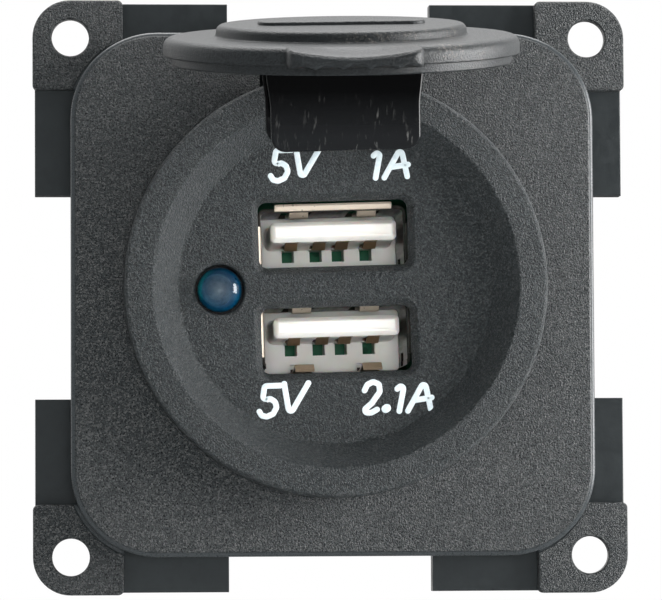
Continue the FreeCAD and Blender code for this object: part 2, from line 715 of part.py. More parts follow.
def bar(name, size_xyz, corner_xyz):
    """Box with its low corner and its three sizes taken from the sheet."""
    box = doc.addObject("Part::Box", name)
    for prop, value in zip(("Length", "Width", "Height"), size_xyz):
        bind(box, prop, value)
    for prop, value in zip("xyz", corner_xyz):
        bind(box, f"Placement.Base.{prop}", value)
    return box


# Lamp: dome and collar turned about its own axis, two leads to the board
def make_lamp():
    lens = Piece("led_lens")
    sk = lens.sketch(0, "XY_Plane")
    shoulder = floor_depth - 0.6
    rise = lamp_radius * 0.55
    outline(sk, [(0, -floor_back + lamp_collar_thick), (lamp_collar, -floor_back + lamp_collar_thick),
                 (lamp_collar, -floor_back), (lamp_radius, -floor_back), (lamp_radius, -shoulder),
                 (lamp_radius * 0.8, -shoulder - rise * 0.7),
                 (0, -shoulder - rise)])
    lens.turn(sk)
    body = lens.body
    twist = body_twist.value
    beside = FreeCAD.Rotation(V(0, -1, 0), twist).multVec(V(-lamp_left.value, 0, 0))
    turn = FreeCAD.Rotation(V(0, -1, 0), twist)
    body.Placement = FreeCAD.Placement(V(body_right.value, 0, body_up.value) + beside, turn)
    angle = f"{body_twist.text} * 1deg"
    bind(body, "Placement.Base.x", Size(0, f"{body_right.text} - {lamp_left.text} * cos({angle})"))
    bind(body, "Placement.Base.z", Size(0, f"{body_up.text} - {lamp_left.text} * sin({angle})"))
    bind(body, "Placement.Rotation.Angle", body_twist)
    front = floor_back - lamp_collar_thick
    leads = [bar(f"lamp_lead{i + 1}", (lead_side, front - shell_back, lead_side),
                 (side * lead_gap - lamp_left - lead_side / 2, -front, -lead_side / 2))
             for i, side in enumerate((-1, 1))]
    return [lens, gather("led_leads", leads)]


# Boards: the round one behind the ports, the converter board square to it
def make_boards():
    port = Piece("port_board")
    sk = port.sketch(shell_back)
    circle(sk, 0, 0, barrel_inner)
    port.pad(sk, board_thick, back=True)
    on_body_axis(port)
    power = Piece("converter_board")
    sk = power.sketch(-power_down - board_thick / 2, "XY_Plane")
    block(sk, 0, power_length / 2 - board_back, power_width, power_length)
    power.pad(sk, board_thick)
    on_body_axis(power)
    first = small_can_right + small_can_radius + part_gap
    pins = [bar(f"board_pin{i + 1}", (pin_side, pin_length, pin_side),
                (first + pin_pitch * i, -board_back, power_top)) for i in range(4)]
    return [port, power, gather("board_pins", pins)]


def make_can(name, right, depth, radius, height):
    """Upright round component on the converter board, with a rounded-off top."""
    piece = Piece(name)
    sk = piece.sketch(power_top, "XY_Plane")
    circle(sk, right, -depth, radius)
    piece.pad(sk, height)
    on_body_axis(piece)
    return piece


def make_coil():
    right = coil_radius + 2.6 * part_gap - power_width / 2
    depth = board_back - 2 * small_can_radius - coil_radius - 2 * part_gap
    core = Piece("inductor_core")
    for low, high, radius in ((as_size(0), coil_flange, coil_radius),
                              (coil_flange, coil_height - coil_flange, coil_waist),
                              (coil_height - coil_flange, coil_height, coil_radius)):
        sk = core.sketch(power_top + low, "XY_Plane")
        circle(sk, right, -depth, radius)
        core.pad(sk, high - low)
    on_body_axis(core)
    wire = Piece("inductor_winding")
    sk = wire.sketch(power_top + coil_flange, "XY_Plane")
    circle(sk, right, -depth, coil_radius * 0.93)
    circle(sk, right, -depth, coil_waist)
    wire.pad(sk, coil_height - 2 * coil_flange)
    on_body_axis(wire)
    return [core, wire]


def make_flat_parts():
    chip_left = power_width / 2 - chip_width - 2 * part_gap
    chip = gather("converter_chip", [bar("chip_case", (chip_width, chip_length, chip_height),
                                         (chip_left, chip_start - board_back, power_top))])
    diode_up = power_top - board_thick - diode_height
    diode = gather("diode", [bar("diode_case", (diode_width, diode_length, diode_height),
                                 (-diode_width / 2, power_length / 2 - board_back, diode_up))])
    return [chip, diode]


# Rear cover closes the barrel; two blade terminals pass through it
def make_rear():
    cover = Piece("rear_cover")
    sk = cover.sketch(0, "XY_Plane")
    back = barrel_depth + cover_thick
    outline(sk, [(0, barrel_depth - cover_plug), (barrel_inner, barrel_depth - cover_plug),
                 (barrel_inner, barrel_depth), (barrel_radius, barrel_depth), (barrel_radius, back),
                 (0, back)])
    cover.turn(sk)
    sk = cover.sketch(cover_plug - barrel_depth)
    blade_up = power_top + blade_thick / 2
    for right in (1, -1):
        block(sk, right * blade_beside, blade_up, blade_width, blade_thick)
    cover.cut(sk, cover_plug + cover_thick)
    on_body_axis(cover)
    pieces = [cover]
    front = -power_back - blade_lap
    tail = barrel_depth + cover_thick + blade_out
    for name, right in (("terminal_positive", 1), ("terminal_negative", -1)):
        blade = Piece(name)
        sk = blade.sketch(blade_up - blade_thick / 2, "XY_Plane")
        middle = right * blade_beside
        half = blade_width / 2
        outline(sk, [(middle - half, front), (middle + half, front), (middle + half, tail - 1.2),
                     (middle + half - 1.0, tail), (middle - half + 1.0, tail), (middle - half, tail - 1.2)])
        circle(sk, middle, tail - blade_out / 2, blade_hole / 2)
        blade.pad(sk, blade_thick)
        on_body_axis(blade)
        pieces.append(blade)
    return pieces


plate = make_module_plate()
doc.recompute()
slotted = cut_strap_slot(plate)
parts = {"module_plate": slotted}
made = [make_socket_body(), make_ring_nut(), make_cap(), make_cap_anchor()]
for end, up in (("upper", 1), ("lower", -1)):
    made.append(make_usb_shell(f"usb_shell_{end}", up))
    made.append(make_usb_insulator(f"usb_insulator_{end}", up))
    made.append(make_usb_contacts(f"usb_contacts_{end}", up))
made += make_lamp()
made += make_boards()
made += make_coil()
big_can_right = power_width / 2 - big_can_radius - 1.5 * part_gap
big_can_depth = power_back + power_rear + big_can_radius
made.append(make_can("input_capacitor", big_can_right, big_can_depth, big_can_radius, big_can_height))
small_can_depth = board_back - small_can_radius - part_gap
made.append(make_can("output_capacitor", small_can_right, small_can_depth, small_can_radius,
                     small_can_height))
made += make_flat_parts()
made += make_rear()
for item in made:
    obj = item.body if isinstance(item, Piece) else item
    parts[obj.Label] = obj

doc.recompute()
for obj in doc.Objects:
    if "Invalid" in obj.State or "Error" in obj.State:
        raise RuntimeError(f"{obj.Name} did not build: {obj.State}")
for name, obj in parts.items():
    shape = obj.Shape
    if shape.isNull() or not shape.isValid():
        raise RuntimeError(f"{name} has no valid shape")
    shape.exportStep(f"parts/{name}.step")
    print(name, len(shape.Solids), round(shape.Volume, 1))
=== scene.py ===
import bpy
import bmesh
import json
import math
from mathutils import Matrix, Vector


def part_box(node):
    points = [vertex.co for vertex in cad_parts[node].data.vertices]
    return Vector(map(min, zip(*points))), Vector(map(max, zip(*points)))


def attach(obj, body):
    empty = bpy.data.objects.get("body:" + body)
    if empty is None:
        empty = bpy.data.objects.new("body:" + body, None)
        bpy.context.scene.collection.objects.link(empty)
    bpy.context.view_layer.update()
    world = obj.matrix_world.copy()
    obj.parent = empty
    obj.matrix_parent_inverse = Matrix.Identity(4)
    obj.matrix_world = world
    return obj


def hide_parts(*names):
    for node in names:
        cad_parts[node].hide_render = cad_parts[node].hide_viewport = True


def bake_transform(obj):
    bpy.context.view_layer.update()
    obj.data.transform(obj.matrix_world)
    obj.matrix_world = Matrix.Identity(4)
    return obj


# Dual USB charging socket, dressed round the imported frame.
# Pieces are drawn in mm as (right, depth towards the front, up): the plate from its own centre,
# the socket from its axis, the cap and its plugs from the hinge, as they lie when shut.

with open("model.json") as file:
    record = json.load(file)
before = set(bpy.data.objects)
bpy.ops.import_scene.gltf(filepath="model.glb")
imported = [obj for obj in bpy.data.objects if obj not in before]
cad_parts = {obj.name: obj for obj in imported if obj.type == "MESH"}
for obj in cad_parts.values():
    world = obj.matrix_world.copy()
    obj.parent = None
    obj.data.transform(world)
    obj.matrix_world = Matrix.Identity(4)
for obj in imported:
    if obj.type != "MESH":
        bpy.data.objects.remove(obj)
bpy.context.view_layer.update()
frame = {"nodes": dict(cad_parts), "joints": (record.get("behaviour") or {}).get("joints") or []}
MM = 0.001
SIDES = (1, -1)
CORNERS = [(right, up) for right in SIDES for up in SIDES]

# Sizes in mm that the pieces share with the frame
HINGE_UP, HINGE_DEPTH = 17.0, 2.6
PLATE_SIDE, PLATE_CORNER = 46, 7.6
PLATE_BACK, PLATE_FRONT = -3.2, 4.2
BARREL_RADIUS, BORE_RADIUS = 14.2, 14.35
STRAP_UP, STRAP_ROOM = HINGE_UP + 1.175, 5.65
FLOOR, FLOOR_BACK, RIM = 5.0, 3.2, 7.2
PORT_UP, HOLE_UP = 4.2, 4.65
SHELL_WIDTH, SHELL_HEIGHT, SHELL_CORNER = 13.1, 5.72, 0.7
MOUTH, SHELL_BACK, BASE_FRONT = 4.1, -9.0, -5.4
FINGER_RIGHT = 3.0
TONGUE_UP, TONGUE_UNDER = 0.705, 0.84
CONTACTS = (-3.5, -1.0, 1.0, 3.5)
LAMP_RIGHT, LAMP_RADIUS = -10.1, 1.95
CAP_TOP = 6.45

# Where the pieces are drawn
joint = frame["joints"][0]
hinge = Vector(joint["pos_m"])
twist = math.atan2(joint["axis"][2], joint["axis"][0])
cap_open = math.radians(joint["range_deg"][1])
cap_lean = math.radians(0.7)
cap_shift = 0.1

socket_turn = Matrix.Rotation(twist, 4, (0, -1, 0))
socket_centre = hinge + socket_turn @ Vector((0, HINGE_DEPTH, -HINGE_UP)) * MM
to_front = Matrix.Scale(-1, 4, (0, 1, 0)) @ Matrix.Scale(MM, 4)
opened = Matrix.Translation(hinge) @ socket_turn @ Matrix.Rotation(-cap_open, 4, "X")
leaning = Matrix.Translation((cap_shift * MM, 0, 0)) @ Matrix.Rotation(cap_lean, 4, "Z")
PLATE = to_front
SOCKET = Matrix.Translation(socket_centre) @ socket_turn @ to_front
CAP = opened @ leaning @ to_front
PLUG = opened @ to_front


# Outlines
def unit(angle):
    return Vector((math.cos(angle), math.sin(angle)))


def fillet(points, closed=True, steps=6):
    """Points (x, y) or (x, y, radius); each radius becomes an arc of short chords."""
    shortest = 1e-4
    out = []
    count = len(points)
    for i, point in enumerate(points):
        corner = Vector(point[:2])
        radius = point[2] if len(point) > 2 else 0
        if not radius or (not closed and i in (0, count - 1)):
            out.append(corner)
            continue
        back = (Vector(points[i - 1][:2]) - corner).normalized()
        ahead = (Vector(points[(i + 1) % count][:2]) - corner).normalized()
        half = back.angle(ahead) / 2
        centre = corner + (back + ahead).normalized() * (radius / math.sin(half))
        reach = radius / math.tan(half)
        first = corner + back * reach - centre
        last = corner + ahead * reach - centre
        start = math.atan2(first.y, first.x)
        sweep = (math.atan2(last.y, last.x) - start + math.pi) % (2 * math.pi) - math.pi
        arc = max(2, round(abs(sweep) / (math.pi / 2) * steps))
        out += [centre + unit(start + sweep * k / arc) * radius for k in range(arc + 1)]
    return [p for i, p in enumerate(out)
            if (p - out[i - 1]).length > shortest or (not closed and i == 0)]


def rectangle(x, y, width, height, radius=0, steps=6):
    right, left, top, low = x + width / 2, x - width / 2, y + height / 2, y - height / 2
    return fillet([(left, low, radius), (right, low, radius),
                   (right, top, radius), (left, top, radius)], steps=steps)


def ring_points(radius, steps, x=0, y=0):
    turns = [2 * math.pi * k / steps for k in range(steps)]
    return [Vector((x + radius * math.cos(a), y + radius * math.sin(a))) for a in turns]


def inset(outline, amount):
    """The closed outline moved inwards by an amount."""
    sharpest = 0.3
    area = sum(p.x * q.y - q.x * p.y for p, q in zip(outline, outline[1:] + outline[:1]))
    side = 1 if area > 0 else -1
    out = []
    for i, p in enumerate(outline):
        a = (p - outline[i - 1]).normalized()
        b = (outline[(i + 1) % len(outline)] - p).normalized()
        na, nb = Vector((-a.y, a.x)), Vector((-b.y, b.x))
        out.append(p + (na + nb) * (side * amount / max(1 + na.dot(nb), sharpest)))
    return out


def across_at(path, i):
    """Unit vector square to the path at its point i."""
    along = (path[min(i + 1, len(path) - 1)] - path[max(i - 1, 0)]).normalized()
    return Vector((-along.y, along.x))


def band(path, thickness):
    """Closed outline of a sheet of this thickness along an open path."""
    left, right = [], []
    for i, p in enumerate(path):
        across = across_at(path, i) * thickness / 2
        left.append(p + across)
        right.append(p - across)
    return left + right[::-1]


# Meshes
def mesh_piece(name, verts, faces, place):
    weld, sliver = 1e-7, 1e-8
    mesh = bpy.data.meshes.new(name)
    mesh.from_pydata([place @ Vector(v) for v in verts], [], faces)
    work = bmesh.new()
    work.from_mesh(mesh)
    bmesh.ops.remove_doubles(work, verts=work.verts, dist=weld)
    bmesh.ops.dissolve_degenerate(work, edges=work.edges, dist=sliver)
    bmesh.ops.recalc_face_normals(work, faces=work.faces)
    work.to_mesh(mesh)
    work.free()
    obj = bpy.data.objects.new(name, mesh)
    bpy.context.scene.collection.objects.link(obj)
    return obj


def loft(name, rings, place, caps=True, wrap=False):
    """Skin over rings of equal length."""
    count = len(rings[0])
    verts = [v for ring in rings for v in ring]
    faces = []
    for k in range(len(rings) if wrap else len(rings) - 1):
        a, b = k * count, (k + 1) % len(rings) * count
        faces += [(a + i, a + (i + 1) % count, b + (i + 1) % count, b + i) for i in range(count)]
    if caps and not wrap:
        end = (len(rings) - 1) * count
        faces += [tuple(range(count)), tuple(range(end, end + count))]
    return mesh_piece(name, verts, faces, place)


def loft_along_depth(name, sections, place, wrap=False):
    """Skin over flat outlines, each given with its depth."""
    rings = [[(p.x, depth, p.y) for p in outline] for outline, depth in sections]
    return loft(name, rings, place, wrap=wrap)


# How a flat outline (u, v) drawn out along w lies in (right, depth, up)
LAY = {
    "front": lambda u, v, w: (u, w, v),
    "top": lambda u, v, w: (u, v, w),
    "side": lambda u, v, w: (w, u, v),
}


def prism(name, outline, low, high, place, lay="front", soft=(0, 0), steps=3):
    """Outline drawn out from low to high; soft rounds the two end edges."""
    levels = []
    for end, radius, sign in ((low, soft[0], 1), (high, soft[1], -1)):
        part = [(0, end)]
        if radius:
            turns = [math.pi / 2 * k / steps for k in range(steps + 1)]
            part = [(radius * (1 - math.sin(a)), end + sign * radius * (1 - math.cos(a)))
                    for a in turns]
        levels += part if sign > 0 else part[::-1]
    rings = [[LAY[lay](p.x, p.y, level) for p in (inset(outline, less) if less else outline)]
             for less, level in levels]
    return loft(name, rings, place)


def turned(name, profile, place, steps, x=0, z=0, warp=None):
    """Profile of (radius, depth) turned about the depth axis through (x, z)."""
    rings = []
    for radius, depth in profile:
        ring = []
        for k in range(steps):
            angle = 2 * math.pi * k / steps
            r = warp(radius, depth, angle) if warp else radius
            ring.append((x + r * math.cos(angle), depth, z + r * math.sin(angle)))
        rings.append(ring)
    return loft(name, rings, place, caps=False)


def settle(obj):
    """Make the modifiers' result the piece's own mesh."""
    bpy.context.view_layer.update()
    graph = bpy.context.evaluated_depsgraph_get()
    mesh = bpy.data.meshes.new_from_object(obj.evaluated_get(graph))
    obj.modifiers.clear()
    obj.data = mesh


def combine(obj, tools, how):
    for tool in tools:
        step = obj.modifiers.new("combine", "BOOLEAN")
        step.operation = how
        step.solver = "EXACT"
        step.object = tool
    settle(obj)
    for tool in tools:
        bpy.data.objects.remove(tool)


def cut(obj, *tools):
    combine(obj, tools, "DIFFERENCE")


def fuse(obj, *tools):
    combine(obj, tools, "UNION")


def gather(obj, *others):
    """Put closed shells that stand apart into one piece."""
    work = bmesh.new()
    for item in (obj,) + others:
        work.from_mesh(item.data)
    work.to_mesh(obj.data)
    work.free()
    for item in others:
        bpy.data.objects.remove(item)


def paint(obj, materials, choose):
    """Give the piece its materials, and each face the one whose number choose returns."""
    for material in materials:
        obj.data.materials.append(material)
    for face in obj.data.polygons:
        face.material_index = choose(face)


def dress(obj, material, body, replaced=(), sharp=35):
    """Material and shading for one piece; attach it to its body, hide the parts it replaces."""
    if material:
        obj.data.materials.append(material)
    obj.data.shade_smooth()
    obj.data.set_sharp_from_angle(angle=math.radians(sharp))
    step = obj.modifiers.new("flat_faces", "WEIGHTED_NORMAL")
    step.keep_sharp = True
    settle(obj)
    if body:
        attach(obj, body)
    if replaced:
        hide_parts(*replaced)


# Shader nodes
def feed(tree, socket, value):
    """Link an output into the socket, or set the socket's own value."""
    if isinstance(value, bpy.types.NodeSocket):
        tree.links.new(value, socket)
    elif socket.type == "RGBA":
        socket.default_value = (*value, 1.0)
    else:
        socket.default_value = value


def add_node(tree, kind, *values, operation=None, **named):
    """Node with its operation, if it has one, and its inputs in their order or by name."""
    node = tree.nodes.new(kind)
    if operation:
        node.operation = operation
    for socket, value in zip(node.inputs, values):
        feed(tree, socket, value)
    for key, value in named.items():
        feed(tree, node.inputs[key], value)
    return node


# Materials: sizes and depths in them are in mm on the object
class Shade:
    def __init__(self, name, rough, **uniform):
        self.material = bpy.data.materials.new(name)
        self.material.use_nodes = True
        self.tree = self.material.node_tree
        self.shader = self.tree.nodes["Principled BSDF"]
        self.shader.inputs["Roughness"].default_value = rough
        for key, value in uniform.items():
            self.shader.inputs[key.replace("_", " ")].default_value = value
        self.coords = self.node("ShaderNodeTexCoord").outputs["Object"]

    def node(self, kind, *values, **named):
        return add_node(self.tree, kind, *values, **named)

    def stretched(self, scale, turn=(0, 0, 0)):
        return self.node("ShaderNodeMapping", Vector=self.coords, Rotation=turn,
                         Scale=scale).outputs[0]

    def noise(self, size, detail=2.0, rough=0.5, coords=None):
        node = self.node("ShaderNodeTexNoise", Vector=coords or self.coords, Scale=1000 / size,
                         Detail=detail, Roughness=rough)
        return node.outputs["Fac"]

    def cells(self, size):
        return self.node("ShaderNodeTexVoronoi", Vector=self.coords, Scale=1000 / size).outputs

    def specks(self, size, low, high, most=1.0):
        """Small patches of random value, those above a level kept."""
        split = self.node("ShaderNodeSeparateColor", self.cells(size)["Color"])
        return self.level(split.outputs[0], low, high, 0.0, most)

    def level(self, value, low, high, to_low=0.0, to_high=1.0):
        """The value between low and high spread over another range."""
        return self.node("ShaderNodeMapRange", value, low, high, to_low, to_high).outputs[0]

    def mix(self, how_much, one, other):
        node = self.tree.nodes.new("ShaderNodeMix")
        node.data_type = "RGBA"
        for place, value in ((0, how_much), (6, one), (7, other)):
            feed(self.tree, node.inputs[place], value)
        return node.outputs[2]

    def maths(self, operation, *values):
        return self.node("ShaderNodeMath", *values, operation=operation).outputs[0]

    def product(self, *values):
        out = values[0]
        for value in values[1:]:
            out = self.maths("MULTIPLY", out, value)
        return out

    def axes(self):
        return self.node("ShaderNodeSeparateXYZ", self.coords).outputs

    def near(self, point, radius, soft):
        """1 near a point of the frame (mm), falling to 0 over the soft width."""
        away = self.node("ShaderNodeVectorMath", self.coords, Vector(point) * MM,
                         operation="DISTANCE").outputs["Value"]
        return self.level(away, radius * MM, (radius + soft) * MM, 1.0, 0.0)

    def beyond(self, point, radius, soft):
        return self.maths("SUBTRACT", 1.0, self.near(point, radius, soft))

    def from_edge(self, half, corner):
        """Distance in front view from a rounded square's outline, below 0 inside it."""
        axes = self.axes()
        squares = []
        for axis in "XZ":
            over = self.maths("SUBTRACT", self.maths("ABSOLUTE", axes[axis]),
                              (half - corner) * MM)
            over = self.maths("MAXIMUM", over, 0.0)
            squares.append(self.product(over, over))
        return self.maths("SUBTRACT", self.maths("SQRT", self.maths("ADD", *squares)),
                          corner * MM)

    def colour(self, value):
        feed(self.tree, self.shader.inputs["Base Color"], value)

    def gloss(self, value):
        feed(self.tree, self.shader.inputs["Roughness"], value)

    def relief(self, height, depth):
        """Bump of this depth in mm."""
        node = self.node("ShaderNodeBump", Height=height, Distance=depth * MM, Strength=1.0)
        feed(self.tree, self.shader.inputs["Normal"], node.outputs[0])


def scaled(colour, factor):
    return tuple(c * factor for c in colour)


def moulded(name, colour, grain, depth, rough, spread, sparkle_highlights=0.0, rim=None):
    """Moulded plastic: fine grain in height, tone and gloss, and a broad faint mottling.
    Pale specks, if asked for, are painted in as sparkle highlights of the grain.
    A rim (half side, corner, width) stays smooth and is painted a little paler as a highlight,
    as round the plate."""
    broad_size, broad_share, broad_tone = 6.0, 0.35, 0.8
    sparkle_highlight_colour = (0.17, 0.175, 0.17)
    rim_start, rim_highlight_tone = 0.7, 1.5
    shade = Shade(name, rough)
    fine = shade.noise(grain, rough=0.6)
    tone = shade.mix(shade.level(fine, 0.36, 0.64),
                     scaled(colour, 1 - spread), scaled(colour, 1 + spread))
    broad = shade.level(shade.noise(broad_size), 0.3, 0.7, 0.0, broad_share)
    tone = shade.mix(broad, tone, scaled(colour, broad_tone))
    # Pale specks painted in as sparkle highlights of the grain.
    if sparkle_highlights:
        tone = shade.mix(shade.specks(grain * 0.8, 0.55, 1.0, sparkle_highlights), tone, sparkle_highlight_colour)
    height = fine
    # The rim stays smooth and is painted paler, a painted highlight along the edge.
    if rim:
        half, corner, width = rim
        off = shade.maths("ABSOLUTE", shade.from_edge(half, corner))
        smooth_highlit_rim = shade.level(off, width * rim_start * MM, width * MM, 1.0, 0.0)
        tone = shade.mix(smooth_highlit_rim, tone, scaled(colour, rim_highlight_tone))
        height = shade.product(fine, shade.maths("SUBTRACT", 1.0, smooth_highlit_rim))
    shade.colour(tone)
    shade.gloss(shade.level(fine, 0.3, 0.7, rough - 0.1, rough + 0.1))
    shade.relief(height, depth)
    return shade.material


# Plate and socket plastic get pale specks as painted sparkle highlights; the plate's rim is
# painted paler as a highlight.
plate_plastic = moulded("plate_plastic", (0.024, 0.028, 0.030), grain=0.15, depth=0.26, rough=0.32,
                        spread=0.6, sparkle_highlights=0.45, rim=(PLATE_SIDE / 2, PLATE_CORNER, 0.45))
leg_plastic = moulded("leg_plastic", (0.023, 0.028, 0.030), grain=0.8, depth=0.02, rough=0.42,
                      spread=0.12)
socket_plastic = moulded("socket_plastic", (0.023, 0.028, 0.030), grain=0.15, depth=0.18,
                         rough=0.38, spread=0.55, sparkle_highlights=0.25)
nut_plastic = moulded("nut_plastic", (0.022, 0.024, 0.026), grain=0.6, depth=0.02, rough=0.42,
                      spread=0.15)
cover_plastic = moulded("cover_plastic", (0.020, 0.022, 0.024), grain=0.5, depth=0.02, rough=0.48,
                        spread=0.15)
chip_plastic = moulded("chip_plastic", (0.012, 0.012, 0.013), grain=0.3, depth=0.01, rough=0.5,
                       spread=0.2)


def make_cap_rubber():
    """Rubber: fine grain, and pale dust that clings to the right half of the cap's front edge."""
    dark, light, dust_colour = (0.008, 0.010, 0.011), (0.024, 0.028, 0.030), (0.26, 0.23, 0.20)
    dust_at = (7.5, -31.5, 21.5)
    shade = Shade("cap_rubber", 0.5)
    fine = shade.noise(0.15, rough=0.6)
    tone = shade.mix(shade.level(fine, 0.36, 0.64), dark, light)
    crumbs = shade.product(shade.specks(0.10, 0.35, 1.0),
                           shade.level(shade.noise(0.3), 0.45, 0.6))
    patch = shade.level(shade.noise(2.6, detail=3.0), 0.42, 0.66)
    dust = shade.product(crumbs, shade.product(shade.near(dust_at, 0.5, 10.0), patch))
    shade.colour(shade.mix(dust, tone, dust_colour))
    shade.gloss(shade.level(fine, 0.3, 0.7, 0.34, 0.50))
    shade.relief(fine, 0.05)
    return shade.material


def make_plug_rubber():
    """Moulded plug: near black and shiny, painted lighter towards its tip as a painted reflection,
    with hazy streaks where it rubs in the port.
    """
    deep, lower_sheen, scuffed = (0.0006, 0.0007, 0.0009), (0.010, 0.011, 0.012), (0.14, 0.14, 0.135)
    slant, streak_stretch, rub_stretch = 0.35, 0.10, 0.25
    tip_full, tip_end = 11.8, 15.5
    shade = Shade("plug_rubber", 0.16, Specular_IOR_Level=0.3)
    slanted = shade.stretched((1.0, 1.0, streak_stretch), (0, slant, 0))
    streaks = shade.level(shade.noise(0.3, 3.0, 0.6, slanted), 0.58, 0.72)
    rubs = shade.noise(0.25, 2.0, 0.6, shade.stretched((rub_stretch, 1.0, 1.0)))
    spots = shade.maths("ADD", shade.near((-2.9, -18, 12.9), 0.3, 0.5),
                        shade.near((4.3, -18, 12.6), 0.4, 0.6))
    haze = shade.level(shade.noise(2.2, detail=3.0), 0.42, 0.66)
    tip = shade.level(shade.axes()["Z"], tip_full * MM, tip_end * MM, 1.0, 0.0)
    scuff = shade.maths("MAXIMUM", shade.product(streaks, haze, tip),
                        shade.product(spots, shade.level(rubs, 0.5, 0.62)))
    # Towards the tip the plug is painted lighter as a painted reflection; the streaks and spots
    # are scuffs.
    shade.colour(shade.mix(scuff, shade.mix(tip, deep, lower_sheen), scuffed))
    shade.gloss(shade.level(scuff, 0.0, 1.0, 0.16, 0.5))
    shade.relief(shade.noise(0.35), 0.006)
    return shade.material


def make_metal(name, colour, stained, grain, rough, depth, metal=1.0):
    """Stamped sheet: faint rolling lines, small stains and dents."""
    stain_size, line_stretch = 2.4, 0.06
    shade = Shade(name, rough, Metallic=metal)
    lines = shade.noise(grain, coords=shade.stretched((1.0, line_stretch, 1.0)))
    stain = shade.level(shade.noise(stain_size, detail=3.0), 0.5, 0.8)
    shade.colour(shade.mix(stain, colour, stained))
    shade.gloss(shade.level(lines, 0.3, 0.7, rough - 0.05, rough + 0.08))
    shade.relief(lines, depth)
    return shade.material


def mottled(name, rough, size, detail, low, high, dark, light, depth):
    """Two tones in patches of one size, with a relief that follows them."""
    shade = Shade(name, rough)
    patch = shade.noise(size, detail)
    shade.colour(shade.mix(shade.level(patch, low, high), dark, light))
    shade.relief(patch, depth)
    return shade.material


def make_white():
    shade = Shade("white_plastic", 0.42, Subsurface_Weight=0.15, Subsurface_Scale=0.0005)
    cloud = shade.level(shade.noise(3.0, detail=3.0), 0.3, 0.7)
    shade.colour(shade.mix(cloud, (0.82, 0.805, 0.76), (0.90, 0.89, 0.85)))
    shade.gloss(shade.level(shade.noise(0.8), 0.3, 0.7, 0.36, 0.48))
    shade.relief(shade.noise(0.5), 0.004)
    return shade.material


def make_board():
    """Circuit board: woven ground under paler tracks, with a clear coat."""
    shade = Shade("board_green", 0.3, Coat_Weight=0.4, Coat_Roughness=0.15)
    weave = shade.level(shade.noise(0.5), 0.3, 0.7)
    tracks = shade.level(shade.cells(1.4)["Distance"], 0.30, 0.34)
    ground = shade.mix(weave, (0.002, 0.042, 0.018), (0.004, 0.062, 0.028))
    shade.colour(shade.mix(tracks, ground, (0.012, 0.105, 0.050)))
    shade.relief(tracks, 0.02)
    return shade.material


def make_lens():
    """Clear dome: nearly colourless in the middle, blue towards its rim, a painted cyan glint on
    one side, and its foot in its hole painted black as painted shade."""
    centre, glint_at = (-10.0, -5.0, 0.32), (-11.6, -4.7, 0.9)
    shade = Shade("lamp_blue", 0.05, Transmission_Weight=0.88, IOR=1.5)
    cloud = shade.level(shade.noise(1.2), 0.3, 0.7)
    tone = shade.mix(cloud, (0.003, 0.16, 0.40), (0.006, 0.26, 0.58))
    tone = shade.mix(shade.near(centre, 0.8, 0.9), tone, (0.30, 0.38, 0.50))
    # Painted glint: a cyan arc on one side of the dome.
    glint = shade.product(shade.beyond(centre, 1.55, 0.15), shade.near(glint_at, 0.9, 0.7))
    tone = shade.mix(glint, tone, (0.04, 0.80, 1.0))
    # Beyond the dome's rim the foot is painted near black as painted shade.
    shade.colour(shade.mix(shade.beyond(centre, 2.12, 0.1), tone, (0.001, 0.002, 0.004)))
    shade.relief(shade.noise(1.2), 0.01)
    return shade.material


cap_rubber = make_cap_rubber()
plug_rubber = make_plug_rubber()

# colour, stained colour, size of its lines, roughness, relief, share of metal
# Darkest copy of the sleeve steel: painted shade on the port's right wall and flaps.
shade_steel = make_metal("shade_steel", (0.030, 0.032, 0.028), (0.015, 0.020, 0.015),
                         0.4, 0.34, 0.001, 0.6)
shell_steel = make_metal("shell_steel", (0.10, 0.095, 0.085), (0.05, 0.05, 0.045),
                         0.4, 0.34, 0.001, 0.85)
# Pale copy of the sleeve steel: painted reflection on the flaps and upper fingers at the mouth.
lit_mouth_steel = make_metal("lit_mouth_steel", (0.80, 0.70, 0.58), (0.60, 0.50, 0.40),
                         0.4, 0.32, 0.0005, 0.35)
finger_bronze = make_metal("finger_bronze", (0.52, 0.40, 0.28), (0.34, 0.25, 0.17),
                           0.3, 0.35, 0.001, 0.3)
contact_gold = make_metal("contact_gold", (0.42, 0.29, 0.17), (0.26, 0.17, 0.10),
                          0.3, 0.40, 0.002, 0.6)
terminal_brass = make_metal("terminal_brass", (0.78, 0.60, 0.30), (0.50, 0.38, 0.20),
                            0.3, 0.30, 0.006)
tinned_wire = make_metal("tinned_wire", (0.72, 0.72, 0.72), (0.50, 0.50, 0.50),
                         0.2, 0.32, 0.004)
can_aluminium = make_metal("can_aluminium", (0.80, 0.81, 0.82), (0.60, 0.61, 0.63),
                           0.2, 0.28, 0.004)
coil_copper = make_metal("coil_copper", (0.72, 0.32, 0.14), (0.45, 0.18, 0.08),
                         0.35, 0.3, 0.03)

white_plastic = make_white()
board_green = make_board()
lamp_blue = make_lens()

# roughness, size of its patches, detail, levels of the two tones, the tones, relief
ferrite = mottled("ferrite", 0.6, 0.25, 3.0, 0.35, 0.65,
                  (0.030, 0.030, 0.032), (0.065, 0.063, 0.060), 0.02)
reflector_grey = mottled("reflector_grey", 0.4, 0.6, 2.0, 0.35, 0.65,
                         (0.16, 0.16, 0.13), (0.34, 0.33, 0.24), 0.02)
marking_paint = mottled("marking_paint", 0.5, 0.35, 3.0, 0.3, 0.75,
                        (0.62, 0.72, 0.76), (0.78, 0.86, 0.88), 0.01)


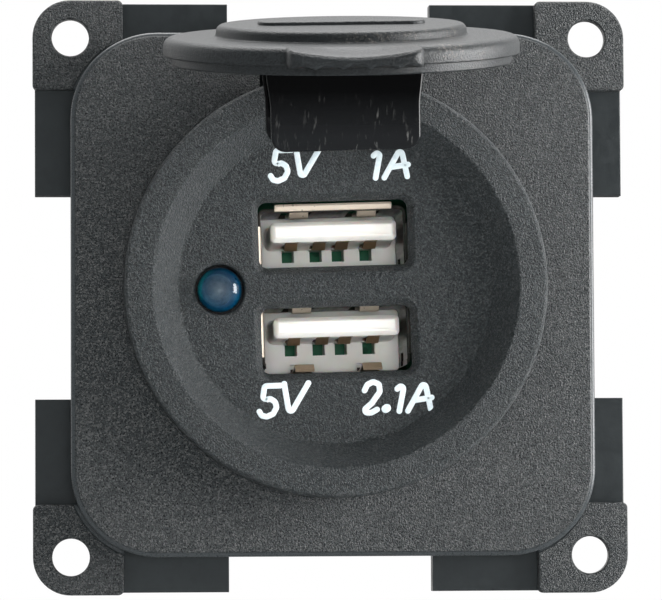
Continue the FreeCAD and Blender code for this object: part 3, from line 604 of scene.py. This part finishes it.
# Module plate: rounded square with its skirt, four tabs on thin legs, fixing holes
def make_plate():
    behind = -4
    leg_side, leg_gap, leg_face = 52.3, 18.1, -1.2
    tab_in, tab_out, tab_corner, tab_edge, tab_back = 18.35, 26.35, 3.35, 0.5, -1.36
    cavity_side, cavity_top = 42, 1.0
    hole_at = 23
    hole = [(0, 1), (1.95, 1), (1.8, 0.05), (1.65, -0.15), (1.65, -2), (0, -2)]

    body = prism("module_plate_look", rectangle(0, 0, PLATE_SIDE, PLATE_SIDE, PLATE_CORNER, 16),
                 PLATE_BACK, PLATE_FRONT, PLATE, soft=(0, 0.4), steps=4)
    legs = prism("legs", rectangle(0, 0, leg_side, leg_side, 3.15, 12),
                 PLATE_BACK, leg_face, PLATE, soft=(0.1, 0.12))
    gaps = []
    for sign in SIDES:
        gaps.append(prism("gap", rectangle(0, sign * 25, leg_gap, 6), behind, 0, PLATE))
        gaps.append(prism("gap", rectangle(sign * 25, 0, 6, leg_gap), behind, 0, PLATE))
    cut(legs, *gaps)
    tabs = []
    for right, up in CORNERS:
        outline = fillet([(right * tab_in, up * tab_in), (right * tab_out, up * tab_in, tab_edge),
                          (right * tab_out, up * tab_out, tab_corner),
                          (right * tab_in, up * tab_out, tab_edge)], steps=12)
        tabs.append(prism("tab", outline, tab_back, 0, PLATE, soft=(0, 0.22)))
    fuse(body, legs, *tabs)

    bore = [(0, 6), (BORE_RADIUS, 6), (BORE_RADIUS, -1), (0, -1)]
    tools = [prism("cavity", rectangle(0, 0, cavity_side, cavity_side, 5.6, 12),
                   behind, cavity_top, PLATE),
             turned("bore", bore, SOCKET, 128),
             prism("strap_slot", rectangle(0, STRAP_UP, 12, STRAP_ROOM), 0, 5, SOCKET),
             prism("strap_rest", rectangle(0, STRAP_UP, 13, STRAP_ROOM), 0.9, 1.8, SOCKET)]
    for right, up in CORNERS:
        x, y = right * hole_at, up * hole_at
        tools.append(turned("hole", hole, PLATE, 64, x, y))
        tools.append(prism("recess", rectangle(x, y, 4.8, 4.8, 0.3), behind, leg_face, PLATE))
    cut(body, *tools)

    def choose(face):
        """1, the legs' plastic, behind the tabs and on the cavity's top."""
        depth = -face.center.y / MM
        facing = abs(face.normal.y)
        outside = max(abs(face.center.x), abs(face.center.z)) / MM > PLATE_SIDE / 2 + 0.01
        back = depth < tab_back - 0.01 or (outside and depth < leg_face + 0.01 and facing > 0.5)
        inner = not outside and depth < cavity_top + 0.01 and facing > 0.9
        return int(back or inner)

    paint(body, (plate_plastic, leg_plastic), choose)
    dress(body, None, "base", ["module_plate"], sharp=30)


# Socket body: turned flange, funnel and floor; threaded barrel; ports, lamp hole, strap notch
def make_socket():
    pitch, root, row = 2.0, 13.75, 0.125
    thread_front, thread_back, run_out = -5.4, -30.4, 0.8
    rows_front, rows_back = -5.2, -30.5
    flange, flange_edge, floor_radius = 18.5, 0.35, 13.7
    wall, barrel_end = 12.6, -31

    def thread(radius, depth, angle):
        if radius < 13.0 or depth > thread_front or depth < thread_back:
            return radius
        turn = ((depth / pitch + angle / (2 * math.pi)) % 1.0) * 2 - 1
        fade = min(1.0, (thread_front - depth) / run_out, (depth - thread_back) / run_out)
        wave = math.sin(math.pi / 2 * max(-1.0, min(1.0, (abs(turn) - 0.5) * 3)))
        return BARREL_RADIUS - (BARREL_RADIUS - root) * fade * (0.5 - 0.5 * wave)

    front = fillet([(0, FLOOR), (floor_radius, FLOOR, flange_edge), (16.0, RIM, flange_edge),
                    (flange, RIM - 0.08, flange_edge), (flange, PLATE_FRONT)],
                   closed=False, steps=8)
    barrel = [Vector((BARREL_RADIUS, PLATE_FRONT)), Vector((BARREL_RADIUS, rows_front))]
    rows = int((rows_front - rows_back) / row)
    barrel += [Vector((BARREL_RADIUS, rows_front - row * (k + 1))) for k in range(rows)]
    rear = [Vector(p) for p in ((14.0, -30.9), (13.8, barrel_end), (wall, barrel_end),
                                (wall, FLOOR_BACK), (0, FLOOR_BACK))]
    body = turned("socket_body_look", front + barrel + rear, SOCKET, 160, warp=thread)

    bevel = [(0, -3), (0, -0.68), (0.06, -0.55), (0.5, -0.1), (0.58, -0.03), (0.66, 0.001),
             (0.67, 1)]
    tools = []
    for up in SIDES:
        outline = rectangle(0, up * HOLE_UP, SHELL_WIDTH, SHELL_HEIGHT, SHELL_CORNER, 8)
        sections = [(inset(outline, -wider), FLOOR + depth) for wider, depth in bevel]
        tools.append(loft_along_depth("port_hole", sections, SOCKET))
    tools.append(prism("port_recess", rectangle(0, 0, 14.3, 15.32, 0.7),
                       FLOOR_BACK - 1, FLOOR - 0.8, SOCKET))
    lamp_hole = [(0, 6), (2.36, 6), (2.36, FLOOR), (2.24, FLOOR - 0.05), (2.19, FLOOR - 0.17),
                 (2.19, 2), (0, 2)]
    tools.append(turned("lamp_hole", lamp_hole, SOCKET, 64, LAMP_RIGHT, 0))
    tools.append(prism("strap_notch", rectangle(0, BARREL_RADIUS + 4.3, 11.3, 8.6, 0.4),
                       4.1, 9, SOCKET))
    cut(body, *tools)
    dress(body, socket_plastic, "base", ["socket_body"], sharp=50)


# Ring nut: eight rounded grip notches round its edge, a thin flange against the plate
def make_nut():
    notches, radius = 8, 17.5
    notch_at, notch_radius, notch_half = 18.25, 1.5, 1.25
    land_start, land_share, land_steps, notch_steps = 0.12, 0.76, 12, 8
    outline = []
    for k in range(notches):
        start = 2 * math.pi * (k + land_start) / notches
        for s in range(land_steps + 1):
            turn = 2 * math.pi / notches * (land_share * s / land_steps)
            outline.append(unit(start + turn) * radius)
        facing = 2 * math.pi * (k + 1) / notches
        middle = unit(facing) * notch_at
        for s in range(1, notch_steps):
            angle = facing + math.pi + notch_half * (1 - 2 * s / notch_steps)
            outline.append(middle + unit(angle) * notch_radius)
    body = prism("ring_nut_look", outline, -5.0, 0.05, SOCKET, soft=(0.4, 0))
    fuse(body, prism("nut_flange", ring_points(radius, 144), 0.0, 1.0, SOCKET, soft=(0.2, 0.2)))
    bore = [(0, 2), (BORE_RADIUS, 2), (BORE_RADIUS, -4.4), (15.0, -5.2), (15.0, -6), (0, -6)]
    cut(body, turned("nut_bore", bore, SOCKET, 144))
    dress(body, nut_plastic, "base", ["ring_nut"], sharp=30)


# Cap: disc with ring and crown, thumb lip, plain oblong relief, two plugs
def make_cap():
    crown_top, disc_low, ring_low = 7.45, 4.9, 4.1
    disc, ring = 15.0, 14.3
    plug_below, plug_half_thick, plug_tip = 1.365, 0.6, -2.75
    profile = [(0, crown_top), (10.45, crown_top, 0.55), (10.6, CAP_TOP, 0.25),
               (disc, CAP_TOP, 0.8), (disc, disc_low, 0.12),
               (ring, disc_low, 0.06), (ring, ring_low, 0.15), (0, ring_low)]
    body = turned("cap_look", fillet(profile, closed=False, steps=8), CAP, 192, 0, -HINGE_UP)
    lip = make_lip()
    relief = prism("relief", rectangle(0, -HINGE_UP, 14, 4.4, 1.46, 10), 7.3, 7.75, CAP,
                   soft=(0, 0.16))
    plugs = []
    for up in SIDES:
        middle = up * PORT_UP - plug_below - HINGE_UP
        outline = fillet([(-6.6, 4.3), (-6.22, 1.2, 3.0), (-6.2, plug_tip, 1.2),
                          (6.2, plug_tip, 1.2), (6.22, 1.2, 3.0), (6.6, 4.3)], steps=10)
        plugs.append(prism(f"plug_{up}", outline, middle - plug_half_thick,
                           middle + plug_half_thick, PLUG, "top", soft=(0.22, 0.22), steps=4))
    fuse(body, lip, relief, *plugs)
    back = CAP.inverted()
    paint(body, (cap_rubber, plug_rubber),
          lambda face: int((back @ face.center).y < ring_low - 0.01))
    dress(body, None, "cap", ["cap"])


def quarter_round(radius, edge):
    """How far a rounded corner of this radius falls back at this distance from the edge."""
    return radius - math.sqrt(max(radius ** 2 - max(radius - edge, 0) ** 2, 0))


def make_lip():
    """Thumb lip: scooped on top, five rounded grips below, its end corners rounded."""
    half, root, tip, low, stations = 5.5, -29.5, -34.8, 4.8, 88
    corner, end_edge, turn_radius = 1.2, 0.35, 0.25
    scoop_depth, grip_depth, grips = 0.6, 0.3, 2.5
    rings = []
    for k in range(stations + 1):
        x = half * math.sin(math.pi / 2 * (2 * k / stations - 1))
        edge = half - abs(x)
        thin = quarter_round(end_edge, edge)
        share = x / half
        scoop = scoop_depth * max(0, 1 - share * share) ** 1.2
        grip = grip_depth * abs(math.cos(math.pi * grips * share)) if abs(share) < 0.999 else 0
        end = tip + quarter_round(corner, edge)
        high, deep = CAP_TOP - thin, low + thin
        points = [(root, high), (root - 1.2, high), (end + 1.4, high - scoop * 0.55),
                  (end + 0.3, high - scoop), (end, high - scoop - 0.3),
                  (end, deep + 0.25 + grip), (end + 0.25, deep + grip),
                  (end + 1.6, deep + grip), (end + 2.2, deep), (root, deep)]
        path = fillet([(z, f, turn_radius if 2 < i < 7 else 0)
                       for i, (z, f) in enumerate(points)], steps=4)
        rings.append([(x, p.y, p.x) for p in path])
    if len({len(ring) for ring in rings}) > 1:
        raise RuntimeError("the lip's sections differ in length")
    return loft("thumb_lip", rings, CAP)


# Hinge strap: foot behind the plate, then a bend up into the cap; one piece
def make_strap():
    thick, half, step = 1.0, 5.5, 0.3
    end = SOCKET.inverted() @ CAP @ Vector((0, 5.5, -2.6))
    path = fillet([(1.1, HINGE_UP), (2.5, HINGE_UP - 0.02, 1.3), (end.y, end.z)],
                  closed=False, steps=24)
    fine = []
    for a, b in zip(path, path[1:]):
        count = max(1, int((b - a).length / step))
        fine += [a.lerp(b, k / count) for k in range(count)]
    fine.append(path[-1])
    strap = prism("hinge_strap", band(fine, thick), -half, half, SOCKET, "side",
                  soft=(0.25, 0.25))
    fuse(strap, prism("foot", rectangle(0, STRAP_UP, 12.8, 5.45, 0.5), 1.02, 1.8, SOCKET,
                      soft=(0.12, 0.12)))
    dress(strap, cap_rubber, None, sharp=40)
    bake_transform(strap)
    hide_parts("cap_anchor")


# Ports
def centre_of(obj):
    """Mean (right, up) of a piece's vertices, in the socket's mm."""
    back = SOCKET.inverted()
    points = [back @ v.co for v in obj.data.vertices]
    return sum(p.x for p in points) / len(points), sum(p.z for p in points) / len(points)


def make_shell(name, up):
    """Drawn sheet sleeve: flaps bent out at its mouth at the top and sides, two pairs of spring
    fingers, a window in its right side. The lower port's bottom wall is open before the base."""
    upper = up > 0
    sheet, edge = 0.3, 0.06
    wall_up, flap_right = 2.71, 6.46
    finger_half, finger_thick, flap_thick = 0.85, 0.26, 0.28
    middle = up * PORT_UP
    outline = rectangle(0, middle, SHELL_WIDTH, SHELL_HEIGHT, SHELL_CORNER, 6)
    inner = inset(outline, sheet)
    front = MOUTH - 0.75
    shell = loft_along_depth(name + "_look", (
        (inset(outline, edge), front), (outline, front - edge), (outline, SHELL_BACK),
        (inner, SHELL_BACK), (inner, front - edge), (inset(outline, sheet - edge), front)),
        SOCKET, wrap=True)
    tools = []
    for right in SIDES:
        tools.append(prism("window", rectangle(right * FINGER_RIGHT, -1.45, 2.7, 6.9, 0.3),
                           middle - 4, middle + 4, SOCKET, "top"))
    tools.append(prism("side_window", rectangle(-2.2, middle - 2.1, 2.6, 1.2, 0.2),
                       6.0, 7.0, SOCKET, "side"))
    if not upper:
        tools.append(prism("relief", rectangle(0, -1.2, 12.4, 10.4),
                           middle - 3.2, middle - 2.4, SOCKET, "top"))
    cut(shell, *tools)

    extras = []
    for right in SIDES:
        for side, dip in ((1, 0.5), (-1, 0.35 if upper else 0.5)):
            wall = middle + side * wall_up - (0.3 if side < 0 and not upper else 0)
            points = [(-5.0, wall), (-3.6, wall), (0.9, wall - side * dip, 0.8),
                      (1.7, wall - side * 0.02)]
            across = right * FINGER_RIGHT + (0.2 if side > 0 else 0.3)
            path = fillet(points, closed=False, steps=10)
            extras.append(prism("finger", band(path, finger_thick), across - finger_half,
                                across + finger_half, SOCKET, "side", soft=(0.04, 0.04), steps=1))
    flare = fillet([(2.6, 0), (3.66, 0.02, 0.35), (MOUTH - 0.13, 0.36)], closed=False, steps=14)
    path = [Vector((p.x, middle + wall_up + p.y)) for p in flare]
    extras.append(prism("flap", band(path, flap_thick), -5.05, 5.25, SOCKET, "side",
                        soft=(0.05, 0.05), steps=1))
    low, high = (middle - 2.0, middle + 1.3) if upper else (middle - 1.8, middle + 2.2)
    for side in SIDES:
        path = [Vector((side * (flap_right + p.y), p.x)) for p in flare]
        extras.append(prism("flap", band(path, flap_thick), low, high, SOCKET, "top",
                            soft=(0.05, 0.05), steps=1))

    # The right wall and the flaps there get the dark steel as painted shade.
    in_walls, at_mouth, low_finger, shaded = range(4)
    back = SOCKET.inverted()
    paint(shell, (shell_steel, lit_mouth_steel, finger_bronze, shade_steel),
          lambda face: shaded if (back @ face.center).x > 6.1 else in_walls)
    # Flaps and upper fingers at the mouth get the pale steel as painted reflection; the lower
    # fingers get bronze.
    for item in extras:
        right, height = centre_of(item)
        number = shaded if right > 6 else at_mouth
        if item.name.startswith("finger") and height < middle:
            number = low_finger
        paint(item, (), lambda face: number)
    gather(shell, *extras)
    dress(shell, None, "base", [name])


def make_insulator(name, up):
    """White base with its tongue: a window and a groove for each contact, notches for the
    lower fingers."""
    middle = up * PORT_UP
    tongue_up = middle + TONGUE_UP
    under = tongue_up - TONGUE_UNDER
    drop = 0 if up > 0 else 0.4
    body = prism(name + "_look", rectangle(0, middle - drop / 2, 12.5, 5.12 + drop, 0.4),
                 SHELL_BACK, BASE_FRONT, SOCKET, soft=(0, 0.15))
    outline = rectangle(0.12, tongue_up + 0.06, 11.1, 1.8, 0.42, 8)
    shape = [(0, BASE_FRONT - 0.5), (-0.2, BASE_FRONT), (-0.05, BASE_FRONT + 0.5),
             (0, BASE_FRONT + 1.2), (0, 2.85), (0.04, 2.98), (0.34, 3.48), (0.42, 3.56),
             (0.52, 3.6)]
    sections = [(inset(outline, less), depth) for less, depth in shape]
    fuse(body, loft_along_depth("tongue", sections, SOCKET))
    tools = []
    for x in CONTACTS:
        tools.append(prism("window", rectangle(x, under - 0.7, 1.1, 1.14),
                           SHELL_BACK - 1, BASE_FRONT + 0.3, SOCKET))
        tools.append(prism("groove", rectangle(x, under - 0.05, 1.2, 0.5),
                           BASE_FRONT - 0.5, 2.9, SOCKET))
    for x in (-FINGER_RIGHT, FINGER_RIGHT):
        tools.append(prism("notch", rectangle(x + 0.3, middle - 2.56 - drop, 1.8, 1.5),
                           BASE_FRONT - 1.2, BASE_FRONT + 1, SOCKET))
    cut(body, *tools)
    dress(body, white_plastic, "base", [name])


def make_contacts(name, up):
    """Springy strips: out of the base along the tongue, bowed off it, back into its groove."""
    thick, half, bow = 0.16, 0.56, 0.5
    under = up * PORT_UP + TONGUE_UP - TONGUE_UNDER + 0.07
    path = fillet([(SHELL_BACK, under), (-4.8, under, 2.0), (-0.9, under - bow, 0.45),
                   (0.75, under + 0.02, 0.6), (2.7, under + 0.02)], closed=False, steps=12)
    strips = [prism(name + "_look", band(path, thick), x - half, x + half, SOCKET, "side",
                    soft=(0.03, 0.03), steps=1) for x in CONTACTS]
    gather(*strips)
    dress(strips[0], contact_gold, "base", [name])


# Lamp: clear dome on a collar, and the cup and post inside it
def make_lamp():
    collar, collar_back, collar_front = 2.35, 2.4, 3.2
    dome_foot, dome_height, dome_steps = 4.35, 1.5, 16
    dome = [(0, collar_back), (collar, collar_back), (collar, collar_front),
            (LAMP_RADIUS, collar_front), (LAMP_RADIUS, dome_foot)]
    for k in range(1, dome_steps + 1):
        angle = math.pi / 2 * k / dome_steps
        dome.append((LAMP_RADIUS * math.cos(angle), dome_foot + dome_height * math.sin(angle)))
    lens = turned("led_lens_look", dome, SOCKET, 72, LAMP_RIGHT, 0)
    dress(lens, lamp_blue, "base", ["led_lens"], sharp=40)
    cup = [(0, 3.35), (0.55, 3.45), (0.95, 3.95), (1.05, 3.95), (1.05, 2.9), (0, 2.9)]
    core = turned("led_core", cup, SOCKET, 40, -10.25, 0)
    gather(core, prism("post", rectangle(-9.05, -0.1, 0.45, 1.3, 0.1), 2.9, 4.05, SOCKET,
                       soft=(0, 0.1)))
    dress(core, reflector_grey, "base")


# Rating marks: single strokes with round ends, pressed flat on the floor
GLYPHS = {
    "5": [[(2.0, 2.7), (0.64, 2.7), (0.36, 1.2), (0.7, 1.5), (1.1, 1.58), (1.5, 1.3),
           (1.62, 0.8), (1.3, 0.25), (0.75, 0.02), (0.3, 0.12), (0.1, 0.48)]],
    "V": [[(0.3, 2.85), (0.68, 0.06), (2.42, 2.85)]],
    "2": [[(0.56, 2.0), (0.82, 2.5), (1.35, 2.74), (1.85, 2.5), (1.9, 1.85), (1.15, 0.85),
           (0.14, 0.06), (1.1, 0.04), (1.6, 0.3)]],
    "1": [[(0.18, 2.05), (0.86, 2.65), (0.3, 0.1)]],
    "A": [[(0.2, 0.1), (1.75, 2.72), (2.22, 0.16)], [(0.9, 1.02), (2.33, 1.2)]],
    ".": [[(0.3, 0.33), (0.42, 0.4)]],
}
# word: its letters, their left edges, its foot
MARKS = {
    "upper_volts": ("5V", (-5.45, -3.35), 9.35),
    "upper_amps": ("1A", (3.55, 4.42), 9.3),
    "lower_volts": ("5V", (-7.1, -5.05), -11.25),
    "lower_amps": ("2.1A", (1.7, 3.75, 4.95, 5.8), -11.2),
}


def stroke(name, points, radius, height):
    """Flattened rod with round ends along a smooth path on the floor."""
    bend, bend_steps, end_steps, around, blunt = 0.22, 5, 5, 10, 0.05
    line = [Vector(p) for p in points]
    if len(points) > 2:
        line = fillet([(x, y, bend) for x, y in points], closed=False, steps=bend_steps)
    ends = [math.pi / 2 * k / end_steps + blunt for k in range(end_steps)]
    first = (line[0] - line[1]).normalized()
    last = (line[-1] - line[-2]).normalized()
    path = [(line[0] + first * radius * math.cos(a), math.sin(a)) for a in ends]
    path += [(p, 1.0) for p in line]
    path += [(line[-1] + last * radius * math.cos(a), math.sin(a)) for a in reversed(ends)]
    spine = [p for p, share in path]
    rings = []
    for i, (p, share) in enumerate(path):
        across = across_at(spine, i)
        ring = []
        for k in range(around):
            angle = 2 * math.pi * k / around
            q = p + across * (radius * share * math.cos(angle))
            ring.append((q.x, FLOOR + height * share * math.sin(angle), q.y))
        rings.append(ring)
    return loft(name, rings, SOCKET)


def make_marks():
    width, dot_width, height = 0.25, 0.36, 0.03
    for word, (text, places, low) in MARKS.items():
        strokes = []
        for letter, right in zip(text, places):
            for line in GLYPHS[letter]:
                points = [(right + x, low + y) for x, y in line]
                strokes.append(stroke(f"mark_{word}", points,
                                      dot_width if letter == "." else width, height))
        gather(*strokes)
        dress(strokes[0], marking_paint, "base", sharp=50)


# Blade terminals with a hole near the tip
def make_terminals():
    beside, half, tip_half, tail, taper = 5.5, 3.15, 2.15, -41.0, 1.2
    hole_radius, hole_in = 0.8, 4
    back = SOCKET.inverted()
    for name, right in (("terminal_positive", 1), ("terminal_negative", -1)):
        low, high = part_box(name)
        front = max((back @ high).y, (back @ low).y)
        x = right * beside
        outline = fillet([(x - half, front), (x + half, front), (x + half, tail + taper, 0.5),
                          (x + tip_half, tail, 0.3), (x - tip_half, tail, 0.3),
                          (x - half, tail + taper, 0.5)], steps=4)
        blade = prism(name + "_look", outline, -2.4, -1.6, SOCKET, "top", soft=(0.15, 0.15),
                      steps=2)
        cut(blade, prism("hole", ring_points(hole_radius, 32, x, tail + hole_in),
                         -3, -1, SOCKET, "top"))
        dress(blade, terminal_brass, "base", [name])


make_plate()
make_socket()
make_nut()
make_cap()
make_strap()
for end, up in (("upper", 1), ("lower", -1)):
    make_shell(f"usb_shell_{end}", up)
    make_insulator(f"usb_insulator_{end}", up)
    make_contacts(f"usb_contacts_{end}", up)
make_lamp()
make_marks()
make_terminals()

# Nodes that keep their solid's mesh and only get a material
carried = {"led_leads": tinned_wire, "port_board": board_green, "converter_board": board_green,
           "board_pins": tinned_wire, "inductor_core": ferrite, "inductor_winding": coil_copper,
           "input_capacitor": can_aluminium, "output_capacitor": can_aluminium,
           "converter_chip": chip_plastic, "diode": chip_plastic, "rear_cover": cover_plastic}
for name, material in carried.items():
    mesh = frame["nodes"][name].data
    mesh.materials.clear()
    mesh.materials.append(material)


# Studio: pale floor below, white surround, soft lamps at the right, above and in front
def make_floor():
    """Pale floor that fades to pure white away from the socket, and is dim in reflections."""
    size, behind, below = 1.5, 0.02, -0.062
    near, far, dim = 0.15, 0.5, 0.12
    floor = mesh_piece("studio_floor", [(-size, -size, 0), (size, -size, 0), (size, size, 0),
                                        (-size, size, 0)],
                       [(0, 1, 2, 3)], Matrix.Translation((0, behind, below)))
    material = bpy.data.materials.new("studio_floor")
    material.use_nodes = True
    tree = material.node_tree
    paper = tree.nodes["Principled BSDF"]
    feed(tree, paper.inputs["Base Color"], (0.86, 0.86, 0.86))
    feed(tree, paper.inputs["Roughness"], 0.9)
    rays = add_node(tree, "ShaderNodeLightPath").outputs
    coords = add_node(tree, "ShaderNodeTexCoord").outputs["Object"]
    away = add_node(tree, "ShaderNodeVectorMath", coords, operation="LENGTH").outputs["Value"]
    fade = add_node(tree, "ShaderNodeMapRange", away, near, far, 0.0, 1.0)
    fade.interpolation_type = "SMOOTHSTEP"
    seen = add_node(tree, "ShaderNodeMath", rays["Is Camera Ray"], fade.outputs[0],
                    operation="MULTIPLY")
    glow = add_node(tree, "ShaderNodeEmission")
    shade = add_node(tree, "ShaderNodeEmission", Strength=dim)
    lit = add_node(tree, "ShaderNodeMixShader", rays["Is Glossy Ray"], paper.outputs[0],
                   shade.outputs[0])
    mixed = add_node(tree, "ShaderNodeMixShader", seen.outputs[0], lit.outputs[0],
                     glow.outputs[0])
    feed(tree, tree.nodes["Material Output"].inputs["Surface"], mixed.outputs[0])
    floor.data.materials.append(material)


def make_world():
    """Pure white to the camera; as light, dimmer from below; in reflections, brighter behind."""
    world = bpy.data.worlds.new("studio")
    bpy.context.scene.world = world
    world.use_nodes = True
    tree = world.node_tree
    background = tree.nodes["Background"]
    feed(tree, background.inputs["Color"], (1, 1, 1))
    rays = add_node(tree, "ShaderNodeLightPath").outputs
    coords = add_node(tree, "ShaderNodeTexCoord").outputs["Generated"]
    axes = add_node(tree, "ShaderNodeSeparateXYZ", coords).outputs

    def maths(operation, *values):
        return add_node(tree, "ShaderNodeMath", *values, operation=operation).outputs[0]

    def choose(how_much, one, other):
        return maths("MULTIPLY_ADD", how_much, maths("SUBTRACT", other, one), one)

    behind = add_node(tree, "ShaderNodeMapRange", axes["Y"], -0.1, 0.6, 0.10, 1.0).outputs[0]
    soft = add_node(tree, "ShaderNodeMapRange", axes["Z"], -1.0, 1.0, 0.08, 0.60).outputs[0]
    mirrored = maths("MAXIMUM", rays["Is Glossy Ray"], rays["Is Transmission Ray"])
    level = choose(rays["Is Camera Ray"], choose(mirrored, soft, behind), 1.0)
    feed(tree, background.inputs["Strength"], level)


def make_lamps():
    for name, place, width, height, power in (
            ("key_right", (0.31, -0.065, -0.03), 0.20, 0.35, 3.3),
            ("top_back", (0.0, 0.14, 0.60), 0.7, 0.5, 6.0),
            ("front_fill", (0.0, -0.62, -0.04), 0.20, 0.14, 2.5)):
        lamp = bpy.data.lights.new(name, "AREA")
        lamp.shape = "RECTANGLE"
        lamp.size, lamp.size_y, lamp.energy = width, height, power
        obj = bpy.data.objects.new(name, lamp)
        obj.location = place
        obj.visible_glossy = name != "front_fill"
        obj.rotation_euler = (-Vector(place)).to_track_quat("-Z", "Y").to_euler()
        bpy.context.scene.collection.objects.link(obj)


# Camera fitted to the photograph
def make_camera():
    place = (-0.02364, -0.37380, -0.02104)
    ahead = Vector((0.06296, 0.99649, 0.05512))
    right = Vector((0.99801, -0.06278, -0.00500))
    data = bpy.data.cameras.new("camera")
    data.sensor_width, data.lens = 36, 230.1
    data.shift_x, data.shift_y = 0.001, 0.0005
    data.clip_start, data.clip_end = 0.01, 20
    camera = bpy.data.objects.new("camera", data)
    turn = Matrix((right, right.cross(ahead), -ahead)).transposed().to_4x4()
    camera.matrix_world = Matrix.Translation(place) @ turn
    bpy.context.scene.collection.objects.link(camera)
    bpy.context.scene.camera = camera


make_floor()
make_world()
make_lamps()
make_camera()
bpy.context.scene.view_settings.view_transform = "Standard"
